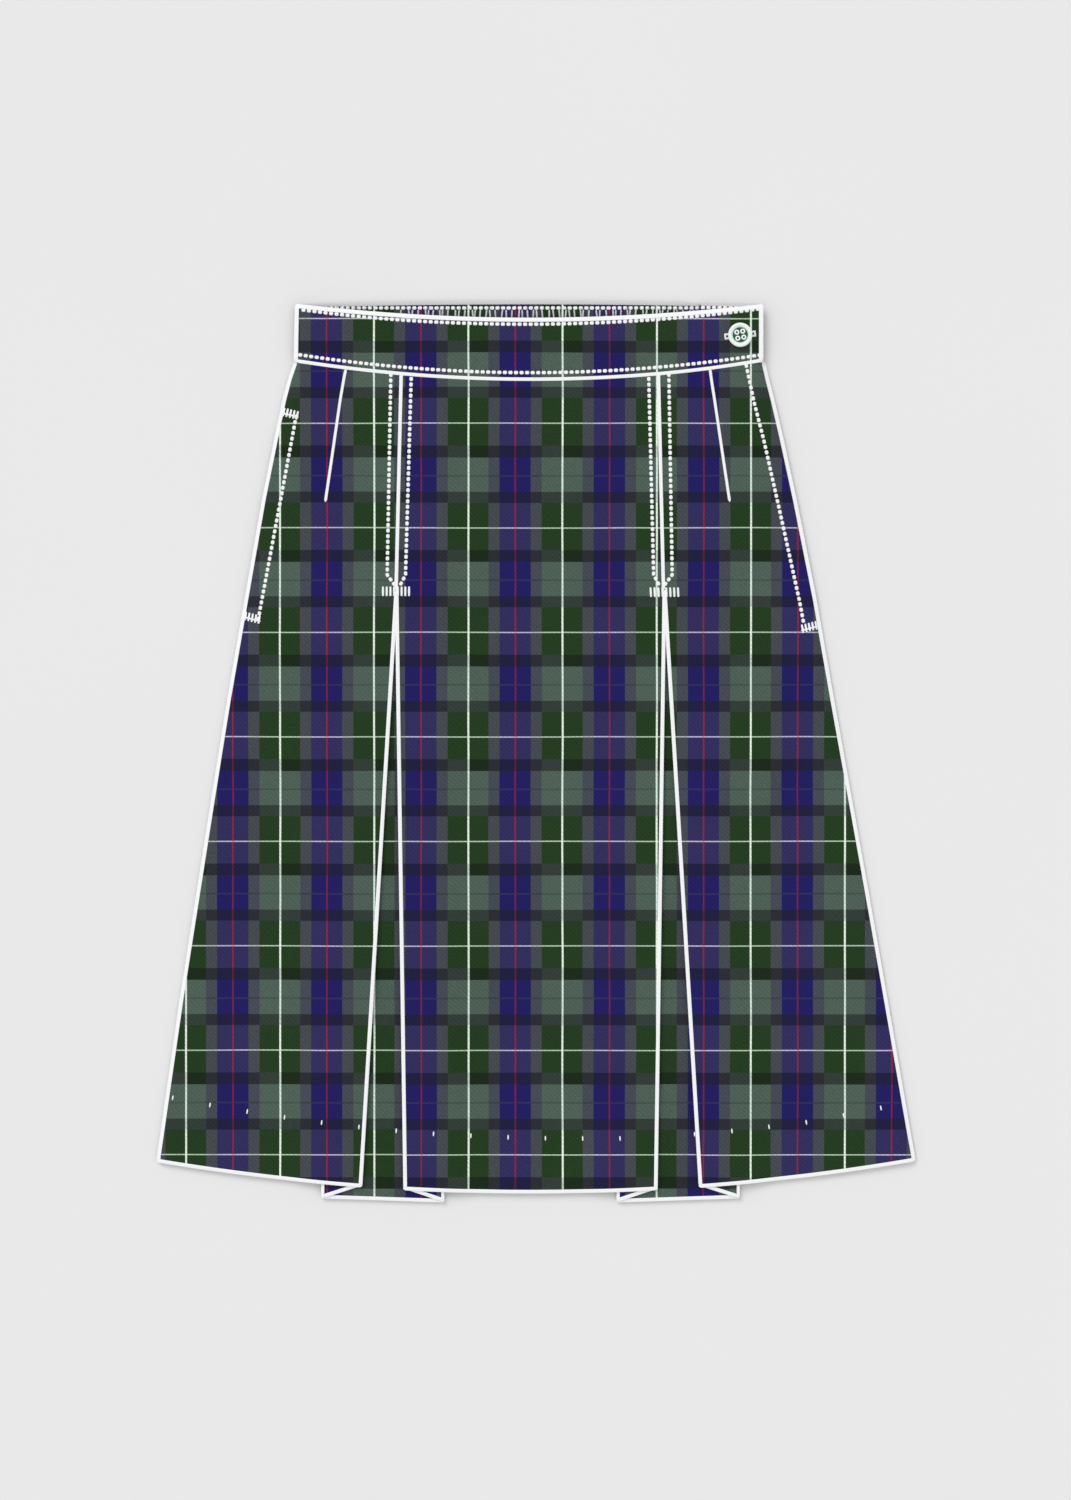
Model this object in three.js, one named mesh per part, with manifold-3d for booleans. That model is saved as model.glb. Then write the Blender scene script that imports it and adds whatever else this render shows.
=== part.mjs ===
// A pleated tartan school skirt, lying flat on its back.
//
// Units are millimetres, +Z is up and the skirt rests on Z = 0. The waist is towards +Y, the hem
// towards -Y, and the wearer's left is +X. The origin is the middle of the resting footprint.
//
// Each cut piece is a wall: a middle surface worked out section by section, with half the cloth's
// thickness laid on either side of it. Sections run across the skirt, and stand one below the other
// from waist to hem. "Drop" is the distance below the top edge of the back waistband.

import * as THREE from "three";
import { mergeVertices } from "three/addons/utils/BufferGeometryUtils.js";
import Module from "manifold-3d";

// ---- Driving dimensions -------------------------------------------------------------------------

const CLOTH = 1.2; // thickness of a wall of skirt cloth
const BAND = 2.2; // thickness of the folded and interfaced front waistband
const BACK_BAND = 2; // thickness of the folded back waistband, with its elastic
const LINING = 1; // thickness of the pocket bags' cloth
const GAP = 0.3; // between neighbouring pieces

const FULL_DROP = 619.6; // from the back waistband's top edge to the pleat underlays' hem
const BAND_TOP = { side: 2.4, centre: 11.6 }; // drop of the front waistband's top edge
const WAIST_SEAM = { side: 40, centre: 52.8 }; // drop of the front panels' top edges
const BACK_TOP_SIDE = 2.4; // drop of the back waistband's top edge at its ends
const BACK_SEAM = WAIST_SEAM.side - GAP; // drop of the back waist seam
const HEM = { centre: 613.1, rise: 21.8, at: 260 }; // the front hem, and how it rises at that x
const BACK_HEM_SHORTER = 2; // the back hem stays hidden behind the front one
const BAND_HALF = { left: 162.2, right: 159.8 }; // half-widths of the waistband

// The side edges: half-width of the skirt on each side of the centre front.
const SIDE_EDGE = [
  { drop: 40, left: 161.5, right: 160 },
  { drop: 53, left: 166, right: 162.8 },
  { drop: 67, left: 169.7, right: 166.3 },
  { drop: 94, left: 175.4, right: 172.4 },
  { drop: 136, left: 183.9, right: 181.5 },
  { drop: 205, left: 196, right: 195.3 },
  { drop: 274, left: 208, right: 207.4 },
  { drop: 343, left: 219.1, right: 219.8 },
  { drop: 481, left: 240.8, right: 244.6 },
  { drop: 591, left: 256.7, right: 264.4 },
];

// The inverted pleats: both folds meet on one line down to the bar tack, and part below it.
const PLEAT = {
  waist: 89, // the closed pleat's line at the waist seam
  tack: 92.5, // and at the bar tack
  tackDrop: 198.4,
  centreHem: 86.4, // where the centre panel's fold reaches the hem
  sideHem: 117.6, // where the side panel's fold reaches the hem
  returnWaist: 20, // width of cloth turned back behind each fold, at the waist
  returnHem: 25.6, // and at the hem
};
const UNDERLAY_HEM = { outer: 616.8, inner: FULL_DROP }; // drop of an underlay's hem at its two ends

// Darts run at one share of a side panel's width, from the waist seam to their point.
const DART = { left: 0.541, right: 0.503, pointDrop: 137.5, groove: 0.5, fade: 40, halfWidth: 1.6 };

// The pocket mouths in the side seams, and the bags behind them.
const POCKET = {
  left: { mouthTop: 80, mouthEnd: 214 },
  right: { mouthTop: 40, mouthEnd: 220 },
  bagTop: 62,
  bagEnd: 300,
  corner: 45, // how far up the bag's rounded lower end starts
  outerCorner: 0.3, // the share of that rounding at the side seam's corner
  clearOfPleat: 4,
  clearOfSeam: 2, // between a bag and the front's bend down to the side seam
  mouthOpen: 0.7, // how far each edge of a mouth stands back from the seam
  mouthTaper: 16, // length over which a mouth opens and closes at its ends
};

// Gathers: the elastic bunches the back waistband, and flutes run down from it.
const GATHERS = { count: 80, from: -150, to: 112, height: 1.2, unevenness: 0.9 };
const FLUTES = { columns: 48, height: 1.2, length: 110 };

const BEYOND = 3; // how far past a hidden layer's edge the cloth over it stays level
const LOFT = 1; // air between the back and the front where no pleat or pocket lies between them
const SIDE_SEAM_Z = 2.2; // height of the side seams
const FRONT_CURL = 8; // width over which the front bends down to the side seam
const BACK_CURL = 4; // width over which the back bends up to it
const PLEAT_SLOPE = 24; // width over which the front sinks beside the pleats
const WAIST_SLOPE = 60; // length over which the front sinks below the waistband
const POCKET_SLOPE = 36; // length over which the front sinks below a pocket bag

const BUTTON = { x: 144.6, drop: 22.6, radius: 8.4, thickness: 2.8, holeRadius: 1, holeOffset: 2.1 };
const BUTTONHOLE = { length: 22, width: 0.8 };
const UNDERLAP_END = 117; // how far in the underlap reaches beneath the front waistband
const UNDERLAP_GAP = 0.6; // between the back waistband and the underlap folded over it
const BAND_SIDE_SEAM_Z = 3.4; // height of the waistband's side seam
const BAND_CURL = 5; // width over which both waistbands bend to it
const BAND_COLUMNS = 26;
const BAND_CLEAR = GAP * 1.4; // between the waistband and the curved edges of the panels

const TARTAN = 0x2c3540;
const POCKET_CLOTH = 0x23282c;
const BUTTON_WHITE = 0xeceee8;

// ---- Small helpers ------------------------------------------------------------------------------

const mix = (a, b, t) => a + (b - a) * t;
const share = (from, to, value) => Math.min(1, Math.max(0, (value - from) / (to - from)));
const ease = (from, to, value) => {
  const t = share(from, to, value);
  return t * t * (3 - 2 * t);
};
const degrees = (angle) => (angle * Math.PI) / 180;

// A value from a table's column, linear between its rows.
function lookUp(table, column, drop) {
  const after = table.findIndex((row) => row.drop > drop);
  const last = after < 0 ? table.length - 1 : Math.max(1, after);
  const [a, b] = [table[last - 1], table[last]];
  return mix(a[column], b[column], share(a.drop, b.drop, drop));
}

// ---- Outlines -----------------------------------------------------------------------------------

// Both edges of the waistband hang in a shallow curve between the sides.
const hanging = (curve, x) => mix(curve.centre, curve.side, (x / BAND_HALF.left) ** 2);
const bandTop = (x) => hanging(BAND_TOP, x);
const waistSeam = (x) => hanging(WAIST_SEAM, x);
const backTop = (x) => BACK_TOP_SIDE * (x / BAND_HALF.left) ** 2;

const sideEdge = (side, drop) => lookUp(SIDE_EDGE, side, drop);
const hem = (x) => HEM.centre - HEM.rise * (x / HEM.at) ** 2;

const belowTack = (drop) => share(PLEAT.tackDrop, HEM.centre, drop);
const pleatLine = (drop) => mix(PLEAT.waist, PLEAT.tack, share(WAIST_SEAM.centre, PLEAT.tackDrop, drop));
const centreFold = (drop) => mix(pleatLine(drop) - GAP / 2, PLEAT.centreHem, belowTack(drop));
const sideFold = (drop) => mix(pleatLine(drop) + GAP / 2, PLEAT.sideHem, belowTack(drop));
const returnWidth = (drop) => {
  const down = share(WAIST_SEAM.centre, HEM.centre, drop);
  return mix(PLEAT.returnWaist, PLEAT.returnHem, down);
};
const centreReturn = (drop) => centreFold(drop) - returnWidth(drop);
const sideReturn = (drop) => sideFold(drop) + returnWidth(drop);

const bagCorner = (drop) => {
  const into = share(POCKET.bagEnd - POCKET.corner, POCKET.bagEnd, drop);
  return POCKET.corner * (1 - Math.sqrt(1 - into ** 2));
};
const besidePleat = (drop) => sideReturn(drop) + POCKET.clearOfPleat;
const bagInner = (drop) => besidePleat(drop) + bagCorner(drop) * (1 - POCKET.outerCorner);
const bagOuter = (side, drop) => {
  const besideSeam = sideEdge(side, drop) - CLOTH / 2 - FRONT_CURL - POCKET.clearOfSeam;
  return besideSeam - bagCorner(drop) * POCKET.outerCorner;
};

// ---- Heights of the layers' middle surfaces ------------------------------------------------------

const flute = (drop) => FLUTES.height * (1 - ease(BACK_SEAM, BACK_SEAM + FLUTES.length, drop));
const backTopFace = (drop) => CLOTH + flute(drop);
const underlayMiddle = (drop) => backTopFace(drop) + GAP + CLOTH / 2;
const returnMiddle = (drop) => underlayMiddle(drop) + CLOTH + GAP;
const overPleat = (drop) => returnMiddle(drop) + CLOTH + GAP;
const bagLower = (drop) => backTopFace(drop) + GAP + LINING / 2;
const bagUpper = (drop) => bagLower(drop) + LINING + GAP;
const overPocket = (drop) => bagUpper(drop) + LINING / 2 + GAP + CLOTH / 2;
const overBack = (drop) => backTopFace(drop) + LOFT + CLOTH / 2;

// The front lies on whatever is beneath it: the pleats, the pocket bags, or the back alone. x is
// measured out from the centre front on either side.
function frontMiddle(x, drop) {
  const inner = centreReturn(drop) - BEYOND;
  const outer = sideReturn(drop) + BEYOND;
  const pleat = ease(inner - PLEAT_SLOPE, inner, x) * (1 - ease(outer, outer + PLEAT_SLOPE, x));
  const bagSide = ease(besidePleat(drop) - PLEAT_SLOPE, besidePleat(drop) - BEYOND, x);
  const bagFoot = POCKET.bagEnd + BEYOND * 2;
  const pocket = bagSide * (1 - ease(bagFoot, bagFoot + POCKET_SLOPE, drop));
  const low = overBack(drop);
  const lying = Math.max(mix(low, overPleat(drop), pleat), mix(low, overPocket(drop), pocket));
  const top = waistSeam(x);
  return mix(overPleat(top), lying, ease(top, top + WAIST_SLOPE, drop));
}

// ---- Walls --------------------------------------------------------------------------------------

// A closed wall on a grid of middle-surface points. Each row is one section, a list of
// { x, drop, z }, with the distances to the cloth's two faces, outer and inner, where they differ from
// half the cloth. The outer face lies to the left of the section's direction, seen with the hem
// nearest. A point on a bend states the tilt of its face from level, in degrees.
function wall(rows) {
  const face = [];
  const back = [];
  for (const row of rows) {
    row.forEach((point, i) => {
      const before = row[Math.max(0, i - 1)];
      const after = row[Math.min(row.length - 1, i + 1)];
      const along = Math.atan2(after.z - before.z, after.x - before.x);
      const turned = point.tilt === undefined ? along : -degrees(point.tilt);
      const [nx, nz] = [-Math.sin(turned), Math.cos(turned)];
      const { outer = CLOTH / 2, inner = CLOTH / 2 } = point;
      face.push([point.x + nx * outer, -point.drop, point.z + nz * outer]);
      back.push([point.x - nx * inner, -point.drop, point.z - nz * inner]);
    });
  }
  const columns = rows[0].length;
  const at = (j, i) => j * columns + i;
  const under = (j, i) => at(j, i) + face.length;
  const index = [];
  const quad = (a, b, c, d) => index.push(a, b, c, a, c, d);
  for (let j = 0; j < rows.length - 1; j++) {
    for (let i = 0; i < columns - 1; i++) {
      quad(at(j, i), at(j + 1, i), at(j + 1, i + 1), at(j, i + 1));
      quad(under(j, i), under(j, i + 1), under(j + 1, i + 1), under(j + 1, i));
    }
    quad(at(j, 0), under(j, 0), under(j + 1, 0), at(j + 1, 0));
    const end = columns - 1;
    quad(at(j, end), at(j + 1, end), under(j + 1, end), under(j, end));
  }
  const foot = rows.length - 1;
  for (let i = 0; i < columns - 1; i++) {
    quad(at(0, i), at(0, i + 1), under(0, i + 1), under(0, i));
    quad(at(foot, i), under(foot, i), under(foot, i + 1), at(foot, i + 1));
  }
  const geometry = new THREE.BufferGeometry();
  geometry.setAttribute("position", new THREE.Float32BufferAttribute([...face, ...back].flat(), 3));
  geometry.setIndex(index);
  return geometry;
}

// The same section on the other side of the skirt: mirrored, and turned round to keep its face up.
const mirrored = (row) => {
  const other = row.map((point) => ({ ...point, x: -point.x, tilt: point.tilt && -point.tilt }));
  return other.reverse();
};
const onSide = (side, row) => (side === "left" ? mirrored(row) : row);

// Half a turn of cloth between two layers, from the lower to the upper one. "edge" is where its
// outside reaches, and "way" is -1 where the fold points to -x and 1 where it points to +x.
const FOLD_ANGLES = [-90, -45, 0, 45, 90];
function fold(edge, way, drop, lower, upper, thickness = CLOTH) {
  const radius = (upper - lower) / 2;
  const centre = edge - way * (radius + thickness / 2);
  return FOLD_ANGLES.map((angle) => ({
    x: centre + way * radius * Math.cos(degrees(angle)),
    drop,
    z: (lower + upper) / 2 + radius * Math.sin(degrees(angle)),
  }));
}

// A quarter turn of cloth at an edge, from "out" short of the edge and height "high" to height "low"
// at the edge itself. The tilt says which way the cloth's face turns.
const BEND_ANGLES = [30, 60, 90];
const bendDown = (from, out, high, low) =>
  BEND_ANGLES.map((angle) => ({
    x: from + out * Math.sin(degrees(angle)),
    z: low + (high - low) * Math.cos(degrees(angle)),
    tilt: angle,
  }));

// ---- The skirt's panels -------------------------------------------------------------------------

// Sections stand at these distances below the waist seam, with one more at the bar tacks.
const ROW_DROPS = [0, 18, 42, 70, 98, 128, 206, 268, 310, 390, 460, 520];
const SECTIONS = [...ROW_DROPS.map((below) => below / (HEM.centre - WAIST_SEAM.centre)), 1];
SECTIONS.push(share(waistSeam(PLEAT.waist), hem(PLEAT.waist), PLEAT.tackDrop));
SECTIONS.sort((a, b) => a - b);

// The point of one column at share t of its way from the waist seam to the hem. A column's x is a
// function of the drop, and it may end at a drop of its own.
function onColumn(x, t, foot = hem(x(HEM.centre))) {
  const drop = mix(waistSeam(x(WAIST_SEAM.side)), foot, t);
  return { x: x(drop), drop };
}

const FOLD_DEPTH = (CLOTH + GAP) / 2 + CLOTH / 2; // from a pleat fold's outside to the flat cloth

// One side of a pleat: the fold, and the cloth turned back behind it down to the underlay's hem.
function pleatFold(edge, way, t) {
  const { drop } = onColumn(edge, t);
  return fold(edge(drop), way, drop, returnMiddle(drop), overPleat(drop));
}
function turnedBack(edge, seam, way, underlayFoot, t) {
  return [0.5, 1].map((s) => {
    const column = (drop) => mix(edge(drop) - way * FOLD_DEPTH, seam(drop), s);
    const foot = mix(hem(edge(HEM.centre)), underlayFoot - GAP, s);
    const point = onColumn(column, t, foot);
    return { ...point, z: returnMiddle(point.drop) };
  });
}

// The centre panel, with a pleat fold at each side.
function frontCentre() {
  const shares = [0, 0.15, 0.3, 0.45, 0.6, 0.72, 0.84, 0.94];
  const rows = SECTIONS.map((t) => {
    const half = shares.map((s) => {
      const point = onColumn((drop) => (centreFold(drop) - FOLD_DEPTH) * s, t);
      return { ...point, z: frontMiddle(point.x, point.drop) };
    });
    half.push(...pleatFold(centreFold, 1, t).reverse());
    half.push(...turnedBack(centreFold, centreReturn, 1, UNDERLAY_HEM.inner, t));
    return [...mirrored(half), ...half.slice(1)];
  });
  return wall(rows);
}

// How far a side edge stands back from the seam: only along a pocket's mouth.
function mouth(side, drop) {
  const { mouthTop, mouthEnd } = POCKET[side];
  const opening = ease(mouthTop, mouthTop + POCKET.mouthTaper, drop);
  const closing = ease(mouthEnd - POCKET.mouthTaper, mouthEnd, drop);
  return POCKET.mouthOpen * opening * (1 - closing);
}

// A side panel: the cloth turned back behind the pleat, the fold, the panel itself with its dart,
// and the bend down to the side seam.
function frontSide(side) {
  const bendFrom = (drop) => sideEdge(side, drop) - CLOTH / 2 - FRONT_CURL;
  const flatFrom = (drop) => sideFold(drop) + FOLD_DEPTH;
  const dart = (drop) => mix(sideFold(drop), sideEdge(side, drop), DART[side]);
  const between = (s) => (drop) => mix(flatFrom(drop), bendFrom(drop), s);
  const columns = [
    ...[0.05, 0.14, 0.27, 0.4].map(between),
    (drop) => dart(drop) - DART.halfWidth,
    dart,
    (drop) => dart(drop) + DART.halfWidth,
    ...[0.7, 0.8, 0.9, 1].map(between),
  ];
  const rows = SECTIONS.map((t) => {
    const row = turnedBack(sideFold, sideReturn, -1, UNDERLAY_HEM.outer, t).reverse();
    row.push(...pleatFold(sideFold, -1, t));
    for (const column of columns) {
      const { x, drop } = onColumn(column, t);
      const depth = column === dart ? DART.groove : 0;
      const groove = depth * (1 - ease(DART.pointDrop - DART.fade, DART.pointDrop, drop));
      row.push({ x, drop, z: frontMiddle(x, drop), outer: CLOTH / 2 - groove });
    }
    const { drop } = onColumn((d) => sideEdge(side, d), t);
    const high = row[row.length - 1].z;
    const low = SIDE_SEAM_Z + GAP / 2 + mouth(side, drop);
    for (const point of bendDown(bendFrom(drop), FRONT_CURL, high, low)) {
      const column = (d) => bendFrom(d) + point.x - bendFrom(drop);
      row.push({ ...point, ...onColumn(column, t) });
    }
    return onSide(side, row);
  });
  return wall(rows);
}

// The cloth behind an inverted pleat, seamed to both turned-back edges.
function underlay(side) {
  const rows = SECTIONS.map((t) =>
    [0, 0.25, 0.5, 0.75, 1].map((s) => {
      const column = (drop) => mix(centreReturn(drop), sideReturn(drop), s);
      const point = onColumn(column, t, mix(UNDERLAY_HEM.inner, UNDERLAY_HEM.outer, s));
      return { ...point, z: underlayMiddle(point.drop) };
    }),
  );
  return wall(rows.map((row) => onSide(side, row)));
}

// The back lies flat, apart from the flutes below the elastic and the bend up to each side seam.
function backPanel() {
  const seam = BACK_SEAM + GAP;
  const rows = SECTIONS.map((t) => {
    const bend = (side) => {
      const drop = mix(seam, hem(sideEdge(side, HEM.centre)) - BACK_HEM_SHORTER, t);
      const from = sideEdge(side, drop) - CLOTH / 2 - BACK_CURL;
      const top = SIDE_SEAM_Z - GAP / 2 - mouth(side, drop);
      const turn = bendDown(from, BACK_CURL, CLOTH / 2, top);
      return onSide(side, turn.map((point) => ({ ...point, drop, tilt: -point.tilt })));
    };
    const flat = [];
    for (let i = 0; i <= FLUTES.columns; i++) {
      const edge = (side, drop) => sideEdge(side, drop) - CLOTH / 2 - BACK_CURL;
      const column = (drop) => mix(-edge("left", drop), edge("right", drop), i / FLUTES.columns);
      const drop = mix(seam, hem(column(HEM.centre)) - BACK_HEM_SHORTER, t);
      flat.push({ x: column(drop), drop, z: CLOTH / 2 + (i % 2) * flute(drop) });
    }
    return [...bend("left"), ...flat, ...bend("right")];
  });
  return wall(rows);
}

// ---- Waistband ----------------------------------------------------------------------------------

const UNDERLAP_MIDDLE = BACK_BAND * 1.5 + UNDERLAP_GAP;
const FRONT_BAND_MIDDLE = BACK_BAND * 2 + UNDERLAP_GAP + GAP + BAND / 2;

// Rows down the folded band: its rounded edges, its two lines of topstitching and its middle.
const BAND_ROWS = [
  { down: 0, plump: 0.6 },
  { down: 0.03, plump: 0.95 },
  { down: 0.09, plump: 0.8 },
  { down: 0.3, plump: 1 },
  { down: 0.7, plump: 1 },
  { down: 0.91, plump: 0.8 },
  { down: 0.97, plump: 0.95 },
  { down: 1, plump: 0.6 },
];

// Rows down the gathered band: it is fullest next to the skirt.
const BACK_BAND_ROWS = [
  { down: 0, gathered: 0.9 },
  { down: 0.14, gathered: 0.6 },
  { down: 0.86, gathered: 1 },
  { down: 1, gathered: 0.9 },
];

function frontBandBlank() {
  const flatFrom = BAND_HALF.left - BAND / 2 - BAND_CURL;
  const rows = BAND_ROWS.map(({ down, plump }) => {
    const thick = { outer: (BAND / 2) * plump, inner: (BAND / 2) * plump };
    const drop = (x) => mix(bandTop(x), waistSeam(x) - BAND_CLEAR, down);
    const bend = bendDown(flatFrom, BAND_CURL, FRONT_BAND_MIDDLE, BAND_SIDE_SEAM_Z + GAP / 2);
    const flat = [];
    for (let i = 0; i <= BAND_COLUMNS; i++) {
      flat.push({ x: mix(-flatFrom, BAND_HALF.right, i / BAND_COLUMNS), z: FRONT_BAND_MIDDLE });
    }
    return [...mirrored(bend), ...flat].map((point) => ({ ...point, ...thick, drop: drop(point.x) }));
  });
  return wall(rows);
}

// The gathered back band, then its plain end folded up and over as the underlap.
function backBand() {
  const flatFrom = BAND_HALF.left - BACK_BAND / 2 - BAND_CURL;
  const thick = { outer: BACK_BAND / 2, inner: BACK_BAND / 2 };
  const low = BACK_BAND / 2;
  const rows = BACK_BAND_ROWS.map(({ down, gathered }) => {
    const bend = bendDown(flatFrom, BAND_CURL, low, BAND_SIDE_SEAM_Z - GAP / 2);
    const row = mirrored(bend.map((point) => ({ ...point, tilt: -point.tilt })));
    row.push({ x: -flatFrom, z: low });
    for (let i = 0; i <= GATHERS.count * 2; i++) {
      const sway = GATHERS.unevenness * Math.sin(i * 1.7) * Math.cos(i * 0.31);
      const x = mix(GATHERS.from, GATHERS.to, i / (GATHERS.count * 2)) + sway;
      row.push({ x, z: low + GATHERS.height * gathered * (i % 2) });
    }
    const turn = fold(BAND_HALF.right - GAP, 1, 0, low, UNDERLAP_MIDDLE, BACK_BAND);
    row.push({ x: mix(GATHERS.to, turn[0].x, 0.5), z: low }, ...turn);
    row.push(...[0.5, 1].map((s) => ({ x: mix(turn[4].x, UNDERLAP_END, s), z: UNDERLAP_MIDDLE })));
    return row.map((point) => ({ ...point, ...thick, drop: mix(backTop(point.x), BACK_SEAM, down) }));
  });
  return wall(rows);
}

// ---- Pocket bags --------------------------------------------------------------------------------

const BAG_ROWS = [0, 0.12, 0.25, 0.4, 0.55, 0.7, 0.81, 0.89, 0.95, 1];

function pocketBag(side) {
  const across = [0.33, 0.66, 1];
  const rows = BAG_ROWS.map((t) => {
    const drop = mix(POCKET.bagTop, POCKET.bagEnd, t);
    const turn = fold(bagInner(drop), -1, drop, bagLower(drop), bagUpper(drop), LINING);
    const layer = (z) => across.map((s) => ({ x: mix(turn[0].x, bagOuter(side, drop), s), drop, z }));
    const row = [...layer(bagLower(drop)).reverse(), ...turn, ...layer(bagUpper(drop))];
    return onSide(side, row.map((point) => ({ ...point, outer: LINING / 2, inner: LINING / 2 })));
  });
  return wall(rows);
}

// ---- Button and buttonhole ------------------------------------------------------------------------

// The waistband slopes where the button sits, and the buttonhole follows it.
const BUTTON_TILT = Math.atan((bandTop(BUTTON.x - 1) - bandTop(BUTTON.x + 1)) / 2);
const BUTTON_Z = FRONT_BAND_MIDDLE + BAND / 2 + GAP;

function buttonBlank() {
  const { radius: r, thickness: h } = BUTTON;
  const profile = [
    [0, 0],
    [r * 0.72, 0],
    [r * 0.95, h * 0.32],
    [r, h * 0.58],
    [r * 0.97, h * 0.84],
    [r * 0.87, h],
    [r * 0.74, h * 0.95],
    [r * 0.64, h * 0.72],
    [r * 0.5, h * 0.68],
    [0, h * 0.68],
  ];
  const lathe = new THREE.LatheGeometry(profile.map(([x, y]) => new THREE.Vector2(x, y)), 40);
  return lathe.rotateX(Math.PI / 2);
}

const wasm = await Module();
wasm.setup();

function solidOf(geometry) {
  const plain = geometry.clone();
  plain.deleteAttribute("normal");
  plain.deleteAttribute("uv");
  const merged = mergeVertices(plain, 1e-4);
  return new wasm.Manifold(
    new wasm.Mesh({
      numProp: 3,
      vertProperties: merged.attributes.position.array,
      triVerts: new Uint32Array(merged.index.array),
    }),
  );
}

function geometryOf(solid) {
  const { numProp, vertProperties, triVerts } = solid.getMesh();
  const positions = [];
  for (let i = 0; i < vertProperties.length; i += numProp) positions.push(...vertProperties.subarray(i, i + 3));
  const geometry = new THREE.BufferGeometry();
  geometry.setAttribute("position", new THREE.Float32BufferAttribute(positions, 3));
  geometry.setIndex([...triVerts]);
  return geometry;
}

function buttonWithHoles() {
  let solid = solidOf(buttonBlank());
  for (const [x, y] of [[1, 1], [1, -1], [-1, 1], [-1, -1]]) {
    const hole = new THREE.CylinderGeometry(BUTTON.holeRadius, BUTTON.holeRadius, BUTTON.thickness * 3, 16);
    hole.rotateX(Math.PI / 2).translate(x * BUTTON.holeOffset, y * BUTTON.holeOffset, BUTTON.thickness / 2);
    solid = solid.subtract(solidOf(hole));
  }
  return geometryOf(solid);
}

function frontBand() {
  const slit = new THREE.BoxGeometry(BUTTONHOLE.length, BUTTONHOLE.width, BAND * 3);
  slit.rotateZ(BUTTON_TILT).translate(BUTTON.x, -BUTTON.drop, FRONT_BAND_MIDDLE);
  return geometryOf(solidOf(frontBandBlank()).subtract(solidOf(slit)));
}

// ---- The skirt ----------------------------------------------------------------------------------

const skirt = new THREE.Group();
// The centre front stands off the middle of the footprint, because the hem is wider on one side.
const offCentre = (sideEdge("right", FULL_DROP) - sideEdge("left", FULL_DROP)) / 2;
skirt.position.set(-offCentre, FULL_DROP / 2, 0);

function add(name, geometry, color, roughness = 0.9) {
  const mesh = new THREE.Mesh(geometry, new THREE.MeshStandardMaterial({ color, roughness, metalness: 0 }));
  mesh.name = name;
  skirt.add(mesh);
  return mesh;
}

add("back_panel", backPanel(), TARTAN);
add("front_centre_panel", frontCentre(), TARTAN);
add("front_side_panel_left", frontSide("left"), TARTAN);
add("front_side_panel_right", frontSide("right"), TARTAN);
add("pleat_underlay_left", underlay("left"), TARTAN);
add("pleat_underlay_right", underlay("right"), TARTAN);
add("pocket_bag_left", pocketBag("left"), POCKET_CLOTH);
add("pocket_bag_right", pocketBag("right"), POCKET_CLOTH);
add("waistband_front", frontBand(), TARTAN);
add("waistband_back", backBand(), TARTAN);

const button = add("button", buttonWithHoles(), BUTTON_WHITE, 0.3);
button.position.set(BUTTON.x, -BUTTON.drop, BUTTON_Z);
button.rotation.z = BUTTON_TILT;

const root = new THREE.Group();
root.add(skirt);

export default root;
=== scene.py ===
# %% [markdown]
# # A pleated tartan skirt, lying flat
#
# A school skirt is cut from a few panels of twill: a centre and two sides at the front, one piece at the
# back, two underlays behind the pleats, two pocket bags and a waistband in two parts, closed by one button.
# Each cell below makes one of those pieces, or one finish, the way a maker would think of it: first the
# measurements, then the cloth, then the sewing.
#
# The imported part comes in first. It is the fixed frame: every piece below is made where its solid stands.

import bmesh
import bpy
import numpy as np
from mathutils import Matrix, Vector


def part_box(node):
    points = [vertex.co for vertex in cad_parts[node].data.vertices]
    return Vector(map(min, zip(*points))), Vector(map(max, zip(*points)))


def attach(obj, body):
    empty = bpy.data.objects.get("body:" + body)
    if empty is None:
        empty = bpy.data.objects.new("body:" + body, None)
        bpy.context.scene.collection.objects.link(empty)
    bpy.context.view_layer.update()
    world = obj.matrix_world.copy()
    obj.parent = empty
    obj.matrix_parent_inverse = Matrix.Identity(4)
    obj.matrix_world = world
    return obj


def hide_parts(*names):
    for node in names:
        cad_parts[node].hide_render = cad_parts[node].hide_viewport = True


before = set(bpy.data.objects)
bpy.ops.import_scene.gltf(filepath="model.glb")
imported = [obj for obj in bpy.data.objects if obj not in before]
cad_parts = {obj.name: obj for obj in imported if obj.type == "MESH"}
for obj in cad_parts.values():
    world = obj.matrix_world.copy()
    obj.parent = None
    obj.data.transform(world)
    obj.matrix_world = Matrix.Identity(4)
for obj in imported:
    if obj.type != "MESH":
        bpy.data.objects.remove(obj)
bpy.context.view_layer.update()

# %% [markdown]
# ## A pattern cutter's coordinates
#
# A skirt is drafted out from its centre front line and down from its waist. So every shape here is worked
# out in millimetres as x, out from the centre front, drop, down from the back waistband's top edge, and z,
# up from the table. One function turns these into the frame's metres. Both zero lines are read from the
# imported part: the button says where the centre front is, and the back waistband where the top edge is.

# %% From millimetres on the skirt to metres in the frame
MM = 0.001
BUTTON = {"x": 144.6, "drop": 22.6, "radius": 8.4, "height": 2.8}
button_low, button_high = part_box("button")
CENTRE_FRONT = (button_low.x + button_high.x) / 2 - BUTTON["x"] * MM
TOP_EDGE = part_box("waistband_back")[1].y


def placed(x, drop, z):
    """Metres in the frame: X out from the centre front, Y falling with the drop, and Z the height."""
    x, drop, z = np.broadcast_arrays(x, drop, z)
    return np.stack([CENTRE_FRONT + x * MM, TOP_EDGE - drop * MM, z * MM], axis=-1)


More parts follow.
